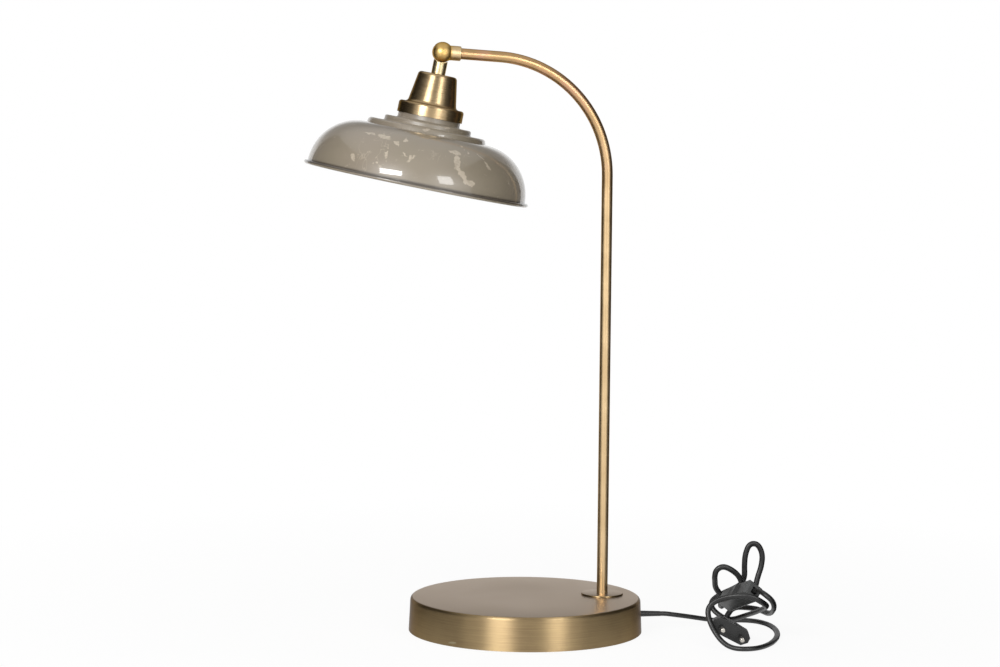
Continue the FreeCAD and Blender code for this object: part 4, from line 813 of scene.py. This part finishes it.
def makePost():
    # one tube, with a loop of edges near each end that keeps the wall from tipping the shading
    size = tubeSizes
    work = bmesh.new()
    ring = bmesh.ops.create_circle(work, cap_ends=False, radius=size["radius"] / 1000,
                                   segments=size["sides"])["verts"]
    bmesh.ops.translate(work, verts=ring, vec=metres(lamp["postX"], 0, size["foot"]))
    edges = extrudeRing(work, work.edges[:], metres(0, 0, size["rim"]))
    rise = lamp["bendStart"] - size["foot"] - size["rim"]
    edges = extrudeRing(work, edges, metres(0, 0, rise))
    centre = metres(lamp["postX"] - lamp["bendRadius"], 0, lamp["bendStart"])
    arc = bmesh.ops.spin(work, geom=edges, cent=centre, axis=(0, 1, 0), angle=-bend,
                         steps=size["bendSteps"])
    last = [item for item in arc["geom_last"] if isinstance(item, bmesh.types.BMEdge)]
    reach = lamp["armReach"] - size["socket"] - size["rim"]
    last = extrudeRing(work, last, armWay * reach / 1000)
    extrudeRing(work, last, armWay * size["rim"] / 1000)
    tube = finishPiece("postTube", work, "base", "satinBrassTube", smooth=size["sharp"])
    addWall(tube, size["wall"])
    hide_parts("post_tube")
    print("post")


def makeFlange():
    size = flangeSizes
    work = bmesh.new()
    drawLine(work, [(size["hole"], 0, 0), (size["radius"], 0, size["footEdge"]),
                    (size["radius"], size["thick"], size["edge"]),
                    (size["hole"], size["thick"], 0)], size["edgeSteps"])
    spin(work, size["steps"])
    place = Matrix.Translation(metres(lamp["postX"], 0, baseSizes["height"]))
    flange = finishPiece("postFlange", work, "base", "brushedAgedBrass", place, turned=True)
    dullTopsPaintedSky(flange)
    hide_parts("post_flange")
    print("flange")


# Cap and shade, in the head's frame

capSizes = {"wall": 0.8, "top": -19.1, "topRadius": 16.57, "hole": 5.1, "coneFoot": 21.21,
            "shoulder": -46.3, "ring": 28.3, "foot": -56.7, "edge": 2.4, "hollow": 2.6,
            "steps": 160, "edgeSteps": 8, "sharp": 50}
shadeSizes = {"wall": 1.0, "hole": 20.2, "top": -54.6, "neck": 27.0, "stepOne": -61.4,
              "stepOneRadius": 37.6, "stepTwo": -66.2, "stepTwoRadius": 50.8, "domeInner": 51.8,
              "dome": 43.2, "foot": -113.6, "stepEdge": 1.8, "hollow": 1.4, "seam": 0.01,
              "dustDrop": 0.2, "steps": 256, "edgeSteps": 7, "sharp": 50}
beadSizes = {"centre": 96.3, "radius": 1.7, "drop": -114.4, "sides": 20, "sharp": 60}


def makeCap():
    size = capSizes
    work = spunShell([
        (size["hole"], size["top"], 0), (size["topRadius"], size["top"], size["edge"]),
        (size["coneFoot"], size["shoulder"], size["hollow"]),
        (size["ring"], size["shoulder"], size["edge"]), (size["ring"], size["foot"], 0)],
        size["wall"], size["steps"], size["edgeSteps"])
    cap = finishPiece("shadeCap", work, "head", "brushedBrassCap", headPlace,
                      smooth=size["sharp"], turned=True)
    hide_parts("shade_cap")
    print("cap")


def makeShade():
    # neck, two steps and the dome; the seam leaves the dome's rounding an edge to end on
    size = shadeSizes
    domeTop = size["foot"] + size["dome"]
    domeRadius = size["domeInner"] + size["dome"]
    work = bmesh.new()
    drawLine(work, [
        (size["hole"], size["top"], 0), (size["neck"], size["top"], size["hollow"]),
        (size["neck"], size["stepOne"], size["hollow"]),
        (size["stepOneRadius"], size["stepOne"], size["stepEdge"]),
        (size["stepOneRadius"], size["stepTwo"], size["hollow"]),
        (size["stepTwoRadius"], size["stepTwo"], size["stepEdge"]),
        (size["domeInner"], domeTop, 0), (domeRadius, domeTop, size["dome"] - size["seam"]),
        (domeRadius, size["foot"], 0)], size["edgeSteps"])
    spin(work, size["steps"])
    shell = finishPiece("shade", work, "head", "greyEnamel", headPlace, smooth=size["sharp"],
                        turned=True)
    up = headPlace.to_3x3() @ Vector((0, 0, 1))
    if sum(polygon.normal.dot(up) * polygon.area for polygon in shell.data.polygons) < 0:
        shell.data.flip_normals()
    # outside and inside, first of the dome and then of the steps
    for finish in ("whiteEnamel", "dustyEnamel", "whiteEnamel"):
        shell.data.materials.append(finishes[finish])
    for polygon in shell.data.polygons:
        height = (headPlace.inverted() @ polygon.center).z * 1000
        if height > size["stepTwo"] - size["dustDrop"]:
            polygon.material_index = 2
    addWall(shell, size["wall"]).material_offset = 1
    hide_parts("shade")
    print("shade")


def makeBead():
    # the shade's edge, rolled outward round a wire
    size = beadSizes
    work = bmesh.new()
    place = Matrix.Translation(metres(size["centre"], 0, size["drop"])) @ turn("X", 90)
    bmesh.ops.create_circle(work, cap_ends=False, radius=size["radius"] / 1000,
                            segments=size["sides"], matrix=place)
    spin(work, shadeSizes["steps"])
    bead = finishPiece("shadeBead", work, "head", "greyEnamel", headPlace, smooth=size["sharp"])
    print("bead")


# Moulded pieces: node, piece, body, finish, bevel in mm and its segments

softSizes = {"flatTurn": 1.5, "edgeTurn": 28}       # degrees between faces
# the switch's pale grey finish is a painted sheen
moulded = (("switch_upper", "switchUpper", "base", "greyAbsPaintedSheen", 0.5, 3),
           ("switch_lower", "switchLower", "base", "greyAbsPaintedSheen", 0.5, 3),
           ("rocker", "switchRocker", "switch_rocker", "blackAbs", 0.3, 3),
           ("plug_body", "plugBody", "base", "blackAbs", 0.9, 4))


def softCopy(node, name, body, finish, bevel, steps):
    # a rigid node's own shape with its flat faces whole again and its edges moulded
    work = bmesh.new()
    work.from_mesh(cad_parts[node].data)
    bmesh.ops.remove_doubles(work, verts=work.verts, dist=welds["node"] / 1000)
    bmesh.ops.dissolve_limit(work, angle_limit=math.radians(softSizes["flatTurn"]),
                             verts=work.verts, edges=work.edges, use_dissolve_boundaries=False)
    piece = finishPiece(name, work, body, finish, smooth=softSizes["edgeTurn"])
    edge = piece.modifiers.new("mouldedEdge", "BEVEL")
    edge.width = bevel / 1000
    edge.segments = steps
    edge.limit_method = "ANGLE"
    edge.angle_limit = math.radians(softSizes["edgeTurn"])
    edge.harden_normals = True
    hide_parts(node)
    print(name)
    return piece


# Everything else keeps its own shape

nodeFinishes = {
    "castIron": ["base_weight"], "blackFelt": ["base_pad"], "redFibre": ["friction_washers"],
    "zincSteel": ["base_plate", "base_lugs", "base_screws", "post_washer", "post_nut", "nipple",
                  "cap_nut", "clamp_screws", "switch_screws"],
    "satinCastBrass": ["joint_ball", "pivot_screw"], "turnedBrass": ["head_neck"],
    "blackBakelite": ["holder_dome", "holder_skirt", "shade_ring_upper", "shade_ring_lower"],
    "whiteSteatite": ["holder_insulator"], "whiteNylon": ["clamp_block", "clamp_bar"],
    "contactBrass": ["terminal_screws", "screw_shell", "centre_contact"],
    "nickelPlate": ["plug_pins"], "blackAbs": ["plug_sleeves", "plug_relief"],
    "cordPvc": ["inner_cord", "socket_leads"]}


def dressNodes():
    for finish, names in nodeFinishes.items():
        for name in names:
            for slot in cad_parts[name].material_slots:
                slot.material = finishes[finish]
    print("nodes dressed")


makeCamera()
makeFloor()
makeFlags()
makeSky()
makeLamps()
makeFinishes()
makeBase()
makePost()
makeFlange()
makeCap()
makeShade()
makeBead()
dressNodes()

switchUpper, switchLower, rocker, plugBody = (softCopy(*row) for row in moulded)
makeRelief()
makeCord("mainCord", leadRoute + coilRoute, ["cord_lead", "cord_coil"])
makeCord("plugCord", tailRoute, ["cord_tail"])
